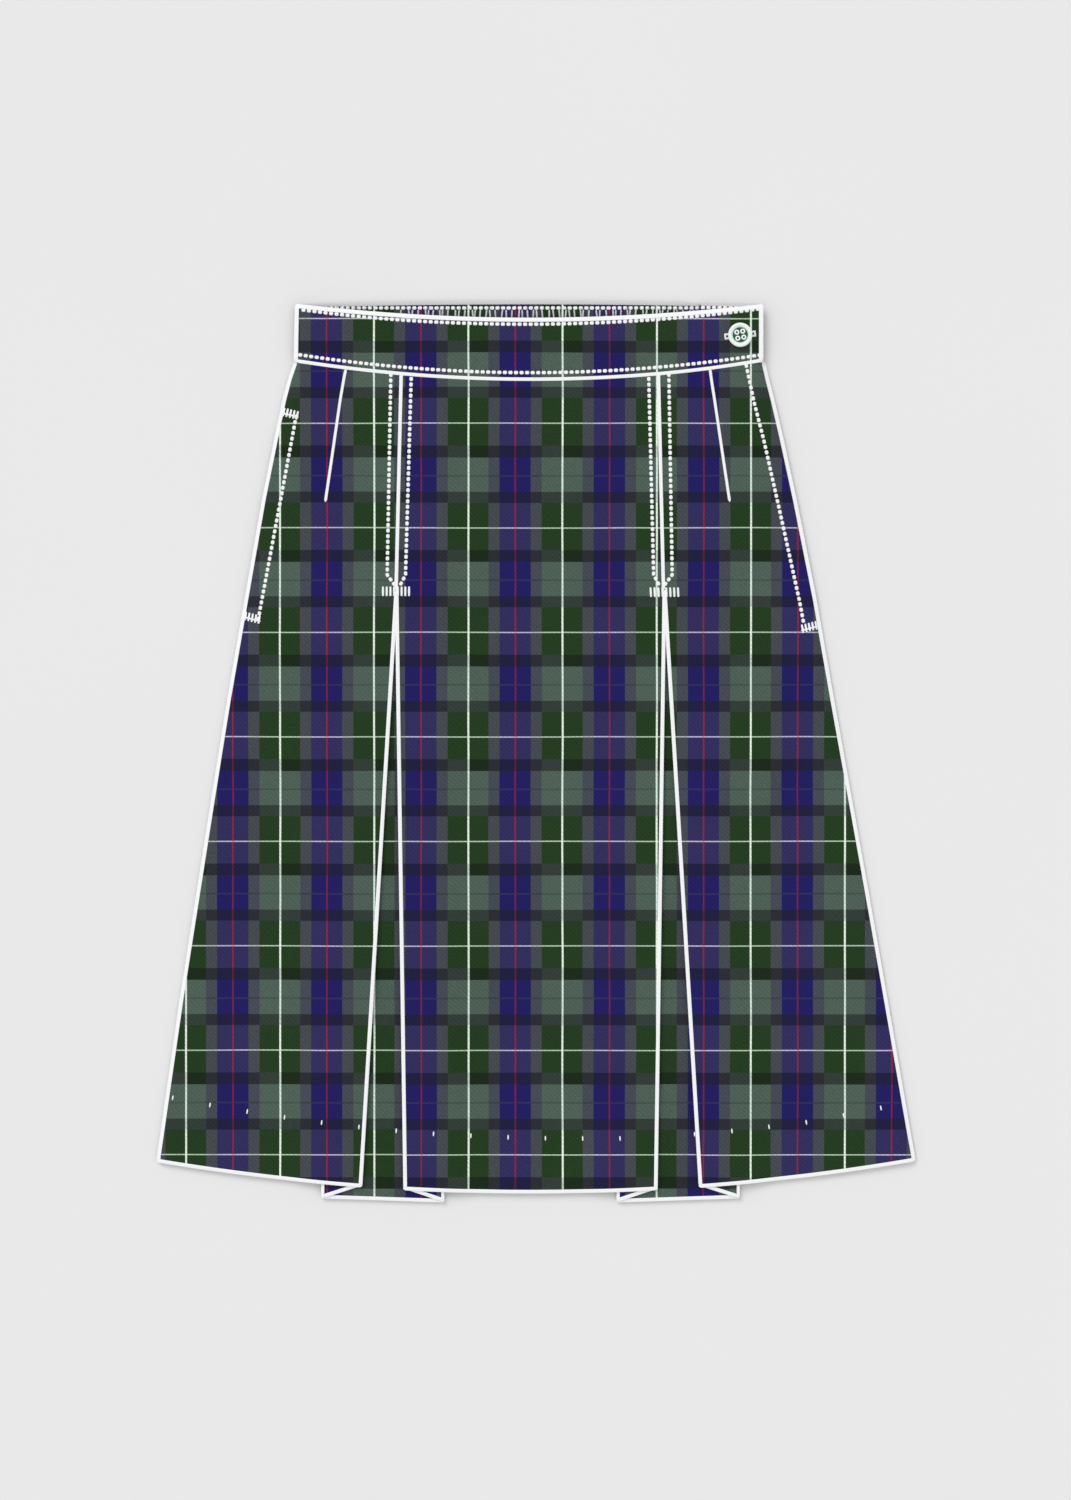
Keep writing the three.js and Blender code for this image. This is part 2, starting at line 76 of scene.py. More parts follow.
print(f"centre front at X {CENTRE_FRONT * 1000:.2f} mm, top edge at Y {TOP_EDGE * 1000:.1f} mm")

# %% [markdown]
# Four small functions do most of the drafting: a straight mix of two values, the share of the way from one
# value to another, the same share eased, so that it starts and ends gently, as cloth does, and a quarter
# circle, which rounds every corner and bend.

# %% Blends and a round
def mix(a, b, t):
    """a where t is 0, b where t is 1, and straight in between."""
    return a + (b - a) * t


def share(start, end, value):
    """How far value is from start to end: 0 before start, 1 after end."""
    return np.clip((value - start) / (end - start), 0, 1)


def ease(start, end, value):
    """The same share along an S curve, 3t^2 - 2t^3, which is level at both ends."""
    t = share(start, end, value)
    return t * t * (3 - 2 * t)


def quarter_round(t):
    """What is left of a quarter circle's height at a share t of its radius: the root of 1 - t^2."""
    return np.sqrt(1 - t**2)


# %% [markdown]
# ## The skirt's outline
#
# These are the measurements a dressmaker would take with a tape: how deep the waistband's two edges hang
# between the sides, how wide the skirt is at each drop, and how the hem curves up towards the side seams. A
# curve that hangs between two sides is close to a parabola, so the edges are drawn with x squared.

# %% Waist, side edges and hem
BAND_TOP = {"side": 2.4, "centre": 11.6}  # drop of the front waistband's top edge
WAIST_SEAM = {"side": 40, "centre": 52.8}  # drop of the seam between band and front
BAND_HALF = {"left": 162.2, "right": 159.8}
BACK_TOP_SIDE = 2.4
GAP = 0.3  # between neighbouring pieces
BACK_SEAM = WAIST_SEAM["side"] - GAP
HEM = {"centre": 613.1, "rise": 21.8, "at": 260}
BACK_HEM_SHORTER = 2  # the back hem stays hidden behind the front one

# Half-widths of the skirt, on both sides of the centre front.
EDGE_DROP = [40, 53, 67, 94, 136, 205, 274, 343, 481, 591]
EDGE_LEFT = [161.5, 166, 169.7, 175.4, 183.9, 196, 208, 219.1, 240.8, 256.7]
EDGE_RIGHT = [160, 162.8, 166.3, 172.4, 181.5, 195.3, 207.4, 219.8, 244.6, 264.4]


def hanging(curve, x):
    """A shallow curve between the sides: the centre's drop, and up with x squared."""
    return mix(curve["centre"], curve["side"], (x / BAND_HALF["left"]) ** 2)


def band_top(x):
    return hanging(BAND_TOP, x)


def waist_seam(x):
    return hanging(WAIST_SEAM, x)


def back_top(x):
    return BACK_TOP_SIDE * (x / BAND_HALF["left"]) ** 2


def hem(x):
    return HEM["centre"] - HEM["rise"] * (x / HEM["at"]) ** 2


def side_edge(x, drop):
    """Half-width of the skirt at a drop, on x's own side, straight between the tape's measurements."""
    left, right = (np.interp(drop, EDGE_DROP, widths) for widths in (EDGE_LEFT, EDGE_RIGHT))
    return np.where(np.asarray(x) < 0, left, right)


print("hem width, mm:", float(side_edge(-1, 600) + side_edge(1, 600)))

# %% [markdown]
# ## The inverted pleats
#
# An inverted pleat is two folds facing each other, with a spare piece of cloth, the underlay, behind them.
# Here the folds are stitched together down to a bar tack and part below it. Each fold's cloth turns back
# behind it, and its raw edge is seamed to the underlay. All of these are lines down the skirt, x as a
# function of drop.

# %% Lines of the pleats
PLEAT = {"waist": 89, "tack": 92.5, "tack_drop": 198.4, "centre_hem": 86.4, "side_hem": 117.6,
         "return_waist": 20, "return_hem": 25.6}
UNDERLAY_HEM = {"outer": 616.8, "inner": 619.6}  # drop of an underlay's hem at its two ends


def pleat_line(drop):
    return mix(PLEAT["waist"], PLEAT["tack"], share(WAIST_SEAM["centre"], PLEAT["tack_drop"], drop))


def centre_fold(drop):
    """The centre panel's fold: beside the pleat's line down to the tack, then straight to the hem."""
    below = share(PLEAT["tack_drop"], HEM["centre"], drop)
    return mix(pleat_line(drop) - GAP / 2, PLEAT["centre_hem"], below)


def side_fold(drop):
    """The side panel's fold, which swings out below the tack."""
    below = share(PLEAT["tack_drop"], HEM["centre"], drop)
    return mix(pleat_line(drop) + GAP / 2, PLEAT["side_hem"], below)


def return_width(drop):
    down = share(WAIST_SEAM["centre"], HEM["centre"], drop)
    return mix(PLEAT["return_waist"], PLEAT["return_hem"], down)


def centre_return(drop):
    return centre_fold(drop) - return_width(drop)


def side_return(drop):
    return side_fold(drop) + return_width(drop)


print("pleat opening at the hem, mm:", side_fold(600) - centre_fold(600))

# %% [markdown]
# ## How the layers stack
#
# On a table the skirt is several layers of cloth: the back, then in places the underlay and the returns of
# the pleats or the pocket bags, and the front over all of them. Each layer's height is its middle surface,
# half a cloth up from whatever is below. The elastic at the back makes soft flutes that die away below the
# waist.

# %% Heights of the hidden layers
CLOTH = 1.2  # thickness of the skirt's cloth
LINING = 1.0  # and of the pocket bags'
FLUTES = {"count": 24, "height": 1.2, "length": 110}


def flute(drop):
    """Height of the flutes at a drop: full at the back waist seam and gone below their length."""
    return FLUTES["height"] * (1 - ease(BACK_SEAM, BACK_SEAM + FLUTES["length"], drop))


def back_top_face(drop):
    return CLOTH + flute(drop)


def underlay_middle(drop):
    return back_top_face(drop) + GAP + CLOTH / 2


def return_middle(drop):
    return underlay_middle(drop) + CLOTH + GAP


def over_pleat(drop):
    return return_middle(drop) + CLOTH + GAP


def bag_lower(drop):
    return back_top_face(drop) + GAP + LINING / 2


def bag_upper(drop):
    return bag_lower(drop) + LINING + GAP


def over_pocket(drop):
    return bag_upper(drop) + LINING / 2 + GAP + CLOTH / 2


# %% [markdown]
# The pocket bags hang inside, between a pleat and a side seam, with rounded lower ends. Their outline
# matters to the front too, because the front lies higher over them.

# %% Outline of the pocket bags
POCKET = {"top": 62, "end": 300, "corner": 45, "outer_corner": 0.3, "clear_of_pleat": 4, "clear_of_seam": 2,
          "mouth_open": 0.7, "mouth_taper": 16}
MOUTH = {"left": (80, 214), "right": (40, 220)}  # drops between which each pocket opens
FRONT_CURL = 8  # width over which the front bends down to the side seam


def bag_corner(drop):
    """How far a bag's edge draws in at its rounded lower end: the gap between a circle and its tangent."""
    into = share(POCKET["end"] - POCKET["corner"], POCKET["end"], drop)
    return POCKET["corner"] * (1 - quarter_round(into))


def beside_pleat(drop):
    return side_return(drop) + POCKET["clear_of_pleat"]


def bend_from(x, drop):
    """Where the front starts to bend down to the side seam."""
    return side_edge(x, drop) - CLOTH / 2 - FRONT_CURL


def bag_inner(drop):
    return beside_pleat(drop) + bag_corner(drop) * (1 - POCKET["outer_corner"])


def bag_outer(x, drop):
    return bend_from(x, drop) - POCKET["clear_of_seam"] - bag_corner(drop) * POCKET["outer_corner"]


# %% [markdown]
# The front lies on whatever is beneath it, so its height is a blend: high over a pleat, a little lower over
# a pocket bag, and lowest over the back alone, with slopes that a stiff cloth can follow. Real cloth is
# never dead flat either. Where it lies loose it has slow swells of a third of a millimetre, it stands up
# over its hem allowance, and each row of topstitching pulls a shallow groove into it. These show only as
# soft shading.

# %% Height of the front
LOFT = 1  # air between back and front where nothing lies between them
BEYOND = 3  # how far past a hidden layer's edge the front stays level
PLEAT_SLOPE, WAIST_SLOPE, POCKET_SLOPE = 24, 60, 36
SWELL = 0.3
HEM_STEP = 0.25
HEM_AT = [-247, -196, -145, -67, 10, 62, 140, 191, 242]
HEM_DEPTH = [44.4, 42.3, 40.5, 38, 36.2, 35, 35.1, 35.5, 38.2]  # depth of the hem allowance folded up inside


def hem_line(x):
    """Drop of the hem allowance's hidden upper edge."""
    return hem(x) - np.interp(x, HEM_AT, HEM_DEPTH)


def swells(x, drop):
    """Three slow sines at different slants, from -1 to 1."""
    first = np.sin(x / 37 + drop / 83)
    second = 0.7 * np.sin(x / 61 - drop / 52 + 1.3)
    third = 0.5 * np.sin(drop / 29 + x / 90)
    return (first + second + third) / 2.2


def front_middle(x, drop):
    """Middle height of the front cloth, on either side of the centre front."""
    out = np.abs(x)
    inner, outer = centre_return(drop) - BEYOND, side_return(drop) + BEYOND
    pleat = ease(inner - PLEAT_SLOPE, inner, out) * (1 - ease(outer, outer + PLEAT_SLOPE, out))
    bag_side = ease(beside_pleat(drop) - PLEAT_SLOPE, beside_pleat(drop) - BEYOND, out)
    foot = POCKET["end"] + BEYOND * 2
    pocket = bag_side * (1 - ease(foot, foot + POCKET_SLOPE, drop))
    low = back_top_face(drop) + LOFT + CLOTH / 2
    lying = np.maximum(mix(low, over_pleat(drop), pleat), mix(low, over_pocket(drop), pocket))
    top = waist_seam(x)
    below_waist = ease(top, top + WAIST_SLOPE, drop)
    loose = (1 - np.maximum(pleat, pocket)) * below_waist
    doubled = HEM_STEP * ease(-2, 3, drop - hem_line(x))
    free = SWELL * swells(x, drop) + doubled
    return mix(over_pleat(top), lying, below_waist) + free * loose


print("front over a pleat, pocket and back, mm:",
      [round(float(front_middle(x, 250.0)), 2) for x in (92.0, 150.0, 0.0)])

# %% [markdown]
# ## Colours and nodes
#
# Yarn and thread colours are written as sRGB hex values, as a dyer's chart gives them. Blender computes
# light in linear values, so one function converts them. A second one adds a node with its settings and its
# inputs, where an input is either a constant or another node's output. All the materials below are made
# with these two. Three more hold what several finishes share: the place on the piece, a dye that isn't
# quite even, and a roughness that follows the grain, since nothing made by hand shines the same all over.

# %% Colour and node helpers
def linear(hex_value):
    """The linear colour of an sRGB hex value: each channel undone from its display curve."""
    srgb = np.array([int(hex_value[i : i + 2], 16) for i in (1, 3, 5)]) / 255
    rgb = np.where(srgb <= 0.04045, srgb / 12.92, ((srgb + 0.055) / 1.055) ** 2.4)
    return (*rgb.tolist(), 1.0)


def add_node(tree, kind, settings=None, inputs=None):
    """One node. settings are its own properties, and each input is a constant or an output to link from."""
    made = tree.nodes.new(kind)
    for name, value in (settings or {}).items():
        setattr(made, name, value)
    for name, value in (inputs or {}).items():
        if isinstance(value, bpy.types.NodeSocket):
            tree.links.new(value, made.inputs[name])
        else:
            made.inputs[name].default_value = value
    return made


def new_material(name, **constants):
    """A material with constant sockets of its shader set, such as Roughness, its tree and its shader."""
    material = bpy.data.materials.new(name)
    material.use_nodes = True
    shader = material.node_tree.nodes["Principled BSDF"]
    for socket, value in constants.items():
        shader.inputs[socket.replace("_", " ")].default_value = value
    return material, material.node_tree, shader


def place_on(tree):
    """The place on the piece: Object coordinates, which are the frame's own metres."""
    return add_node(tree, "ShaderNodeTexCoord").outputs["Object"]


def uneven_dye(tree, position, scale, detail, dark, pale):
    """One dye that drifts from a dark shade to a pale one with a noise. Returns the colour and the noise."""
    noise = add_node(tree, "ShaderNodeTexNoise", inputs={"Vector": position, "Scale": scale, "Detail": detail})
    ramp = add_node(tree, "ShaderNodeValToRGB", inputs={"Fac": noise.outputs["Fac"]})
    for element, shade in zip(ramp.color_ramp.elements, (dark, pale)):
        element.color = linear(shade)
    return ramp.outputs["Color"], noise.outputs["Fac"]


def apply_finish(tree, shader, colour, grain, smooth, rough):
    """Links a colour, and a roughness that goes from smooth to rough as the grain goes from 0 to 1."""
    tree.links.new(colour, shader.inputs["Base Color"])
    spread = add_node(tree, "ShaderNodeMapRange", inputs={"Value": grain, "To Min": smooth, "To Max": rough})
    tree.links.new(spread.outputs[0], shader.inputs["Roughness"])


print("mid grey, linear:", round(linear("#808080")[0], 3))


# %% [markdown]
# ## The sett
#
# A tartan is one list of coloured stripes, the sett, woven across itself. Warp stripes run down the cloth
# and weft stripes across it. In a twill half of each yarn lies on top, so where a green warp crosses a pale
# weft the eye sees the mixture, sage. A weaver's chart therefore gives each kind of weft stripe its own row
# of shades. Below, the warp is read from one white line to the next, and the weft from one white line down
# to the next, each as shares of its repeat.

# %% The weaver's chart
WARP_REPEAT, WARP_FROM = 65.0, 22.0  # mm, and x of a white warp line
WEFT_REPEAT, WEFT_FROM = 72.15, 11.0  # mm, and the drop of a white weft line
# Each stripe: the share of the repeat where it ends, and the yarn.
WARP = [(0.0105, "white"), (0.212, "green"), (0.331, "grey"), (0.483, "blue"), (0.492, "edge"), (0.507, "red"),
        (0.516, "edge"), (0.6635, "blue"), (0.780, "grey"), (0.9895, "olive"), (1, "white")]
WEFT = [(0.0076, "line"), (0.211, "ground"), (0.325, "shadow"), (0.4944, "pale"), (0.5096, "fine"),
        (0.653, "pale"), (0.758, "dusk"), (0.9924, "ground"), (1, "line")]
SHADES = {
    "ground": dict(white="#E6F2E4", green="#243C20", olive="#243C20", grey="#454A50", blue="#322E5D",
                   edge="#3A2A56", red="#8A2A45"),
    "pale": dict(white="#D8E6DC", green="#4F6157", olive="#4F6157", grey="#454A54", blue="#221D60",
                 edge="#2C1B58", red="#74264A"),
    "shadow": dict(white="#C2D0C4", green="#1B2A19", olive="#333D38", grey="#2B2D34", blue="#1F1E40",
                   edge="#281C3C", red="#5C2038"),
    "dusk": dict(white="#C2D0C4", green="#333D38", olive="#333D38", grey="#2B2D34", blue="#1F1E40",
                 edge="#281C3C", red="#5C2038"),
    "fine": dict(white="#D8E6DC", green="#43544C", olive="#43544C", grey="#3A3F46", blue="#312F5E",
                 edge="#33244F", red="#6A2848"),
    "line": dict(white="#F4FAF2", green="#B2C6B0", olive="#B2C6B0", grey="#B2B8BA", blue="#BFB8D6",
                 edge="#BFA8C6", red="#C890A0"),
}
print(len(WARP), "warp stripes and", len(WEFT), "weft stripes,", len(SHADES), "rows of shades")

# %% [markdown]
# The chart becomes nodes in a loop. Each coordinate is turned into the share of its repeat, and a stepped
# colour ramp over the warp's share gives one row of shades. A second, black and white ramp over the weft's
# share says where that row shows. Object coordinates are the frame's own metres, so the checks run unbroken
# over panels, pleats and band, as they do where a maker matches the checks with care.

# %% Stripes from the chart
def stepped(tree, stripes, colours, position):
    """A constant colour ramp: stripe by stripe, each from the end of the one before."""
    ramp = add_node(tree, "ShaderNodeValToRGB", inputs={"Fac": position})
    ramp.color_ramp.interpolation = "CONSTANT"
    elements = ramp.color_ramp.elements
    starts = [0] + [end for end, name in stripes[:-1]]
    while len(elements) < len(stripes):
        elements.new(0.5)
    for element, start, (end, name) in zip(elements, starts, stripes):
        element.position = start
        element.color = colours[name]
    return ramp.outputs["Color"]


def repeat_share(tree, along, repeat, start, flip):
    """Share of the way through the repeat: the coordinate in repeats, less its whole part."""
    scale = flip / (repeat * MM)
    scaled = add_node(tree, "ShaderNodeMath", {"operation": "MULTIPLY_ADD"},
                      {0: along, 1: scale, 2: -start * scale})
    return add_node(tree, "ShaderNodeMath", {"operation": "FRACT"}, {0: scaled.outputs[0]}).outputs[0]


def tartan_colour(tree, position):
    """The sett at a position: the row of shades of whichever weft stripe is there."""
    axes = add_node(tree, "ShaderNodeSeparateXYZ", inputs={0: position}).outputs
    warp = repeat_share(tree, axes["X"], WARP_REPEAT, CENTRE_FRONT + WARP_FROM * MM, 1)
    weft = repeat_share(tree, axes["Y"], WEFT_REPEAT, TOP_EDGE - WEFT_FROM * MM, -1)
    colour = None
    for row, shades in SHADES.items():
        yarns = stepped(tree, WARP, {yarn: linear(value) for yarn, value in shades.items()}, warp)
        if colour is None:
            colour = yarns
            continue
        shows = {name: (1, 1, 1, 1) if name == row else (0, 0, 0, 1) for name in SHADES}
        where = stepped(tree, WEFT, shows, weft)
        blend = add_node(tree, "ShaderNodeMix", {"data_type": "RGBA"}, {"Factor": where})
        tree.links.new(colour, blend.inputs["A"])
        tree.links.new(yarns, blend.inputs["B"])
        colour = blend.outputs["Result"]
    return colour


# %% [markdown]
# ## The skirt's cloth
#
# This is a yarn-dyed wool blend in a 2/2 twill, brushed a little. To the eye that is: fine slanting ribs, a
# matt surface, a faint bloom of loose fibres at grazing angles, and stripes whose edges are crisp but never
# quite ruled. The real ribs are about 0.8 mm apart, too fine to show on a whole skirt, so they are drawn
# 2.2 mm apart and faint, as bump and as painted shade in the furrows between them. Two noises vary the
# colour: one a few yarns wide, one as wide as a hand.

# %% Wool-blend twill
RIB_PITCH = 2.2
# painted shade: the colour is made darker in the furrows between the twill's ribs
RIB_SHADE = 0.13  # how much darker the furrow between two ribs is
STRAY = 1.2  # mm by which a stripe's edge may stray from a ruled line
NOISES = {"stray": (9, 2), "fibres": (900, 3), "patches": (14, 2)}  # scale, in waves a metre, and detail
SWING = {"fibres": 0.14, "patches": 0.04}  # how much a noise lightens and darkens the cloth
NAP, RIB_HEIGHT = 0.6, 0.25  # the fibres' share in the relief, and the ribs' height in mm


def diagonal_ribs(tree, position, pitch):
    """Slanting ribs: a sine of x + y, one wave for each pitch across it."""
    scale = 2 * np.pi / (10 * pitch * np.sqrt(2) * MM)
    ribs = add_node(tree, "ShaderNodeTexWave", {"bands_direction": "DIAGONAL"},
                    {"Vector": position, "Scale": scale, "Distortion": 1.2, "Detail": 2, "Detail Scale": 1.5})
    return ribs.outputs["Fac"]


def twill_cloth(name, colour_at, pitch, **constants):
    """A woven cloth: its colour at a position, varied by painted shade in the ribs' furrows and by noise, with
    the ribs as bump.
    """
    material, tree, shader = new_material(name, **constants)
    place = place_on(tree)
    noise = {part: add_node(tree, "ShaderNodeTexNoise",
                            inputs={"Vector": place, "Scale": scale, "Detail": detail})
             for part, (scale, detail) in NOISES.items()}
    stray = add_node(tree, "ShaderNodeVectorMath", {"operation": "SUBTRACT"},
                     {0: noise["stray"].outputs["Color"], 1: (0.5, 0.5, 0.5)})
    stray = add_node(tree, "ShaderNodeVectorMath", {"operation": "MULTIPLY_ADD"},
                     {0: stray.outputs[0], 1: (STRAY * MM, STRAY * MM, 0), 2: place})
    ribs, fibres = diagonal_ribs(tree, place, pitch), noise["fibres"].outputs["Fac"]
    # painted shade in the furrows between the ribs, then multiplied by the two noises' random tone
    light = add_node(tree, "ShaderNodeMapRange",
                     inputs={"Value": ribs, "To Min": 1 - RIB_SHADE, "To Max": 1.05}).outputs[0]
    for part, swing in SWING.items():
        shade = add_node(tree, "ShaderNodeMapRange",
                         inputs={"Value": noise[part].outputs["Fac"], "From Min": 0.3, "From Max": 0.7,
                                 "To Min": 1 - swing, "To Max": 1 + swing})
        both = add_node(tree, "ShaderNodeMath", {"operation": "MULTIPLY"}, {0: light, 1: shade.outputs[0]})
        light = both.outputs[0]
    shaded = add_node(tree, "ShaderNodeVectorMath", {"operation": "SCALE"},
                      {0: colour_at(tree, stray.outputs[0]), "Scale": light})
    apply_finish(tree, shader, shaded.outputs[0], fibres, 0.78, 0.96)
    nap = add_node(tree, "ShaderNodeMath", {"operation": "MULTIPLY_ADD"}, {0: fibres, 1: NAP, 2: ribs})
    bump = add_node(tree, "ShaderNodeBump",
                    inputs={"Strength": 0.35, "Distance": RIB_HEIGHT * MM, "Height": nap.outputs[0]})
    tree.links.new(bump.outputs[0], shader.inputs["Normal"])
    return material


tartan_twill = twill_cloth("tartan_wool_twill", tartan_colour, RIB_PITCH, Specular_IOR_Level=0.07,
                           Sheen_Weight=0.02, Sheen_Roughness=0.5)
print("twill ribs drawn", RIB_PITCH, "mm apart, with", len(tartan_twill.node_tree.nodes), "nodes")

# %% [markdown]
# ## Pocketing
#
# Pocket bags are cut from a thin, close cotton, here dark grey, with no sheen at all. Almost none of it is
# seen once the skirt is made, only a sliver in each pocket's mouth, so a plain dark twill is enough.

# %% Dark cotton pocketing
def pocketing_colour(tree, position):
    """One dye, a shade darker and paler from yarn to yarn."""
    return uneven_dye(tree, position, 500, 1, "#1B2023", "#2E3438")[0]


# its ribs' furrows get the same painted shade as the tartan's
cotton_pocketing = twill_cloth("cotton_pocketing", pocketing_colour, 1.4, Specular_IOR_Level=0.1)
print("pocketing made with", len(cotton_pocketing.node_tree.nodes), "nodes")

# %% [markdown]
# ## Thread
#
# The sewing is in thick white polyester thread, slightly glossy because its filaments are smooth. At the
# back of the waist the same thread is coloured pale grey, as painted shade. What the eye reads as thread
# rather than plastic is the twist: fine slanting plies along it, with painted shade in the furrows between
# them. Each thread's mesh carries its own UV map, with U in millimetres along the thread, so the plies
# follow every curve. Real plies are about 0.5 mm long, and these are drawn 1.1 mm so that they show.

# %% Polyester thread
PLY_LENGTH = 1.1


def thread_material(name, furrow, crest):
    """Twisted thread: plies as slanting waves in its own UV, coloured from the furrows' painted shade to the
    crests'.
    """
    material, tree, shader = new_material(name, Specular_IOR_Level=0.3, Sheen_Weight=0.1, Sheen_Roughness=0.4)
    along = add_node(tree, "ShaderNodeUVMap", {"uv_map": "along_thread"}).outputs["UV"]
    stretch = add_node(tree, "ShaderNodeMapping", inputs={"Vector": along, "Scale": (1 / PLY_LENGTH, 2, 1)})
    plies = add_node(tree, "ShaderNodeTexWave", {"bands_direction": "DIAGONAL"},
                     {"Vector": stretch.outputs[0], "Scale": 2 * np.pi / 10, "Distortion": 0.5, "Detail": 1})
    # painted shade: the furrows between the plies are coloured darker than the crests
    shade = add_node(tree, "ShaderNodeValToRGB", inputs={"Fac": plies.outputs["Fac"]})
    for element, colour in zip(shade.color_ramp.elements, (furrow, crest)):
        element.color = linear(colour)
    apply_finish(tree, shader, shade.outputs["Color"], plies.outputs["Fac"], 0.65, 0.45)
    bump = add_node(tree, "ShaderNodeBump",
                    inputs={"Strength": 0.5, "Distance": 0.2 * MM, "Height": plies.outputs["Fac"]})
    tree.links.new(bump.outputs[0], shader.inputs["Normal"])
    return material


# each thread: the furrows' colour, darker as painted shade, then the crests' colour
white_thread = thread_material("white_topstitch_thread", "#EEEFF2", "#FFFFFF")
# painted shade: a darker grey copy of the white thread, for the back band's cord and gathering stitches
painted_shade_thread = thread_material("white_thread_painted_grey_shade", "#C4C4C8", "#D8D8DC")
print("thread drawn with plies of", PLY_LENGTH, "mm")

# %% [markdown]
# ## From grids to closed cloth
#
# Every panel is one grid of points on the middle of its cloth. Rows run across the skirt and follow each
# other down it. Moving each point half a thickness along the surface's normal, up and down, gives the
# cloth's two faces, and a rim of quads round the outside closes them into one wall. All of that is
# whole-array work.

# %% Quads between rows of points
def grid_quads(rows, columns, first=0):
    """Quads of a grid whose points are numbered row by row, turned so that their faces point up."""
    number = first + np.arange(rows * columns).reshape(rows, columns)
    corners = [number[:-1, :-1], number[1:, :-1], number[1:, 1:], number[:-1, 1:]]
    return np.stack(corners, axis=-1).reshape(-1, 4)


def rim_quads(rows, columns):
    """Quads that join the upper face's border to the lower face's, which is numbered after it."""
    number = np.arange(rows * columns).reshape(rows, columns)
    loop = np.concatenate([number[:-1, 0], number[-1, :-1], number[:0:-1, -1], number[0, :0:-1]])
    following, under = np.roll(loop, -1), rows * columns
    return np.stack([loop, loop + under, following + under, following], axis=-1)


def ring_quads(number):
    """Quads between rings of numbered points, an array of (..., ring, around) whose rings close on
    themselves: a point, the next one round, and the same two on the next ring."""
    beside = np.roll(number, -1, axis=-1)
    corners = [number[..., :-1, :], beside[..., :-1, :], beside[..., 1:, :], number[..., 1:, :]]
    return np.stack(corners, axis=-1).reshape(-1, 4)


print("quads of a 3 by 3 grid:", len(grid_quads(3, 3)), "inside and", len(rim_quads(3, 3)), "round its rim")


# %% [markdown]
# The normal of a grid is the cross product of its two directions, which numpy's gradient gives at every
# point. Cloth edges aren't knife sharp: over the last half millimetre the thickness follows a quarter
# circle, so a rounded edge catches the light as a real fold or hem does.

# %% The two faces of a cloth
EDGE_ROUND = 0.6  # mm over which a free edge is rounded


def cloth_faces(x, drop, z, half, upright):
    """Upper and lower face: the middle surface plus and minus half the thickness along its normal.
    Where upright is 1 the normal is taken as straight up, as in tight gathers."""
    middle = np.stack([x, -drop, z], axis=-1)
    across, down = np.gradient(middle, axis=1), np.gradient(middle, axis=0)
    normal = np.cross(down, across)
    normal /= np.linalg.norm(normal, axis=-1, keepdims=True)
    normal = mix(normal, np.array([0.0, 0.0, 1.0]), upright[..., None])
    return middle + normal * half[..., None], middle - normal * half[..., None]


def rounded(t, length, over=EDGE_ROUND):
    """Thickness share near both ends of a length: close to a quarter circle over the last stretch."""
    near = share(0, over, np.minimum(t, 1 - t) * length)
    return np.sqrt(1 - 0.85 * (1 - near) ** 2)


def down_the_panel(count, length):
    """Shares of the way down a panel: even steps, with a few more close to each end for the rounded edge."""
    close = np.array([0, 0.15, 0.35, 0.6, 1.2]) / length
    even = np.linspace(2.5 / length, 1 - 2.5 / length, count)
    return np.concatenate([close, even, 1 - close[::-1]])[:, None]


# %% [markdown]
# One function puts arrays into a mesh object, hides the solids of the imported part that it stands for,
# hangs it on the body it rides on and gives it its finish. Smooth shading is kept off edges sharper than 50
# degrees.

# %% A mesh object from arrays
SHARP = np.radians(50)


def in_scene(name, data):
    """An object with this data, put into the scene at the origin."""
    made = bpy.data.objects.new(name, data)
    bpy.context.scene.collection.objects.link(made)
    return made


def make_piece(name, points, faces, material, stands_for=(), per_corner_uv=None):
    """A named object at the origin from an (n, 3) array of metres and an (m, 4) array of quads."""
    mesh = bpy.data.meshes.new(name)
    mesh.from_pydata(points.tolist(), [], faces.tolist())
    if per_corner_uv is not None:
        uv = mesh.uv_layers.new(name="along_thread")
        uv.data.foreach_set("uv", per_corner_uv.astype(np.float32).ravel())
    mesh.shade_smooth()
    mesh.set_sharp_from_angle(angle=SHARP)
    mesh.materials.append(material)
    piece = in_scene(name, mesh)
    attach(piece, "root")
    if stands_for:
        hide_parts(*stands_for)
    print(f"{name}: {len(faces) * 2} triangles, {enclosed(points, faces):.2f} ml")
    return piece


def enclosed(points, quads):
    """Volume inside closed quads, in millilitres: a sixth of the sum of a . (b x c) over both triangles of
    each. It is positive when faces point outwards."""
    a, b, c, d = (points[quads[:, i]] for i in range(4))
    total = np.einsum("ij,ij->i", a, np.cross(b, c)) + np.einsum("ij,ij->i", a, np.cross(c, d))
    return total.sum() / 6 * 1e6


# %% [markdown]
# Each cloth piece is made from its strips: their grids are joined side by side into one, given the cloth's
# two faces and closed round the rim. For a grid it is read off the middle surface: the longest row is the
# width, the longest column the length, and the quads add up to the area.

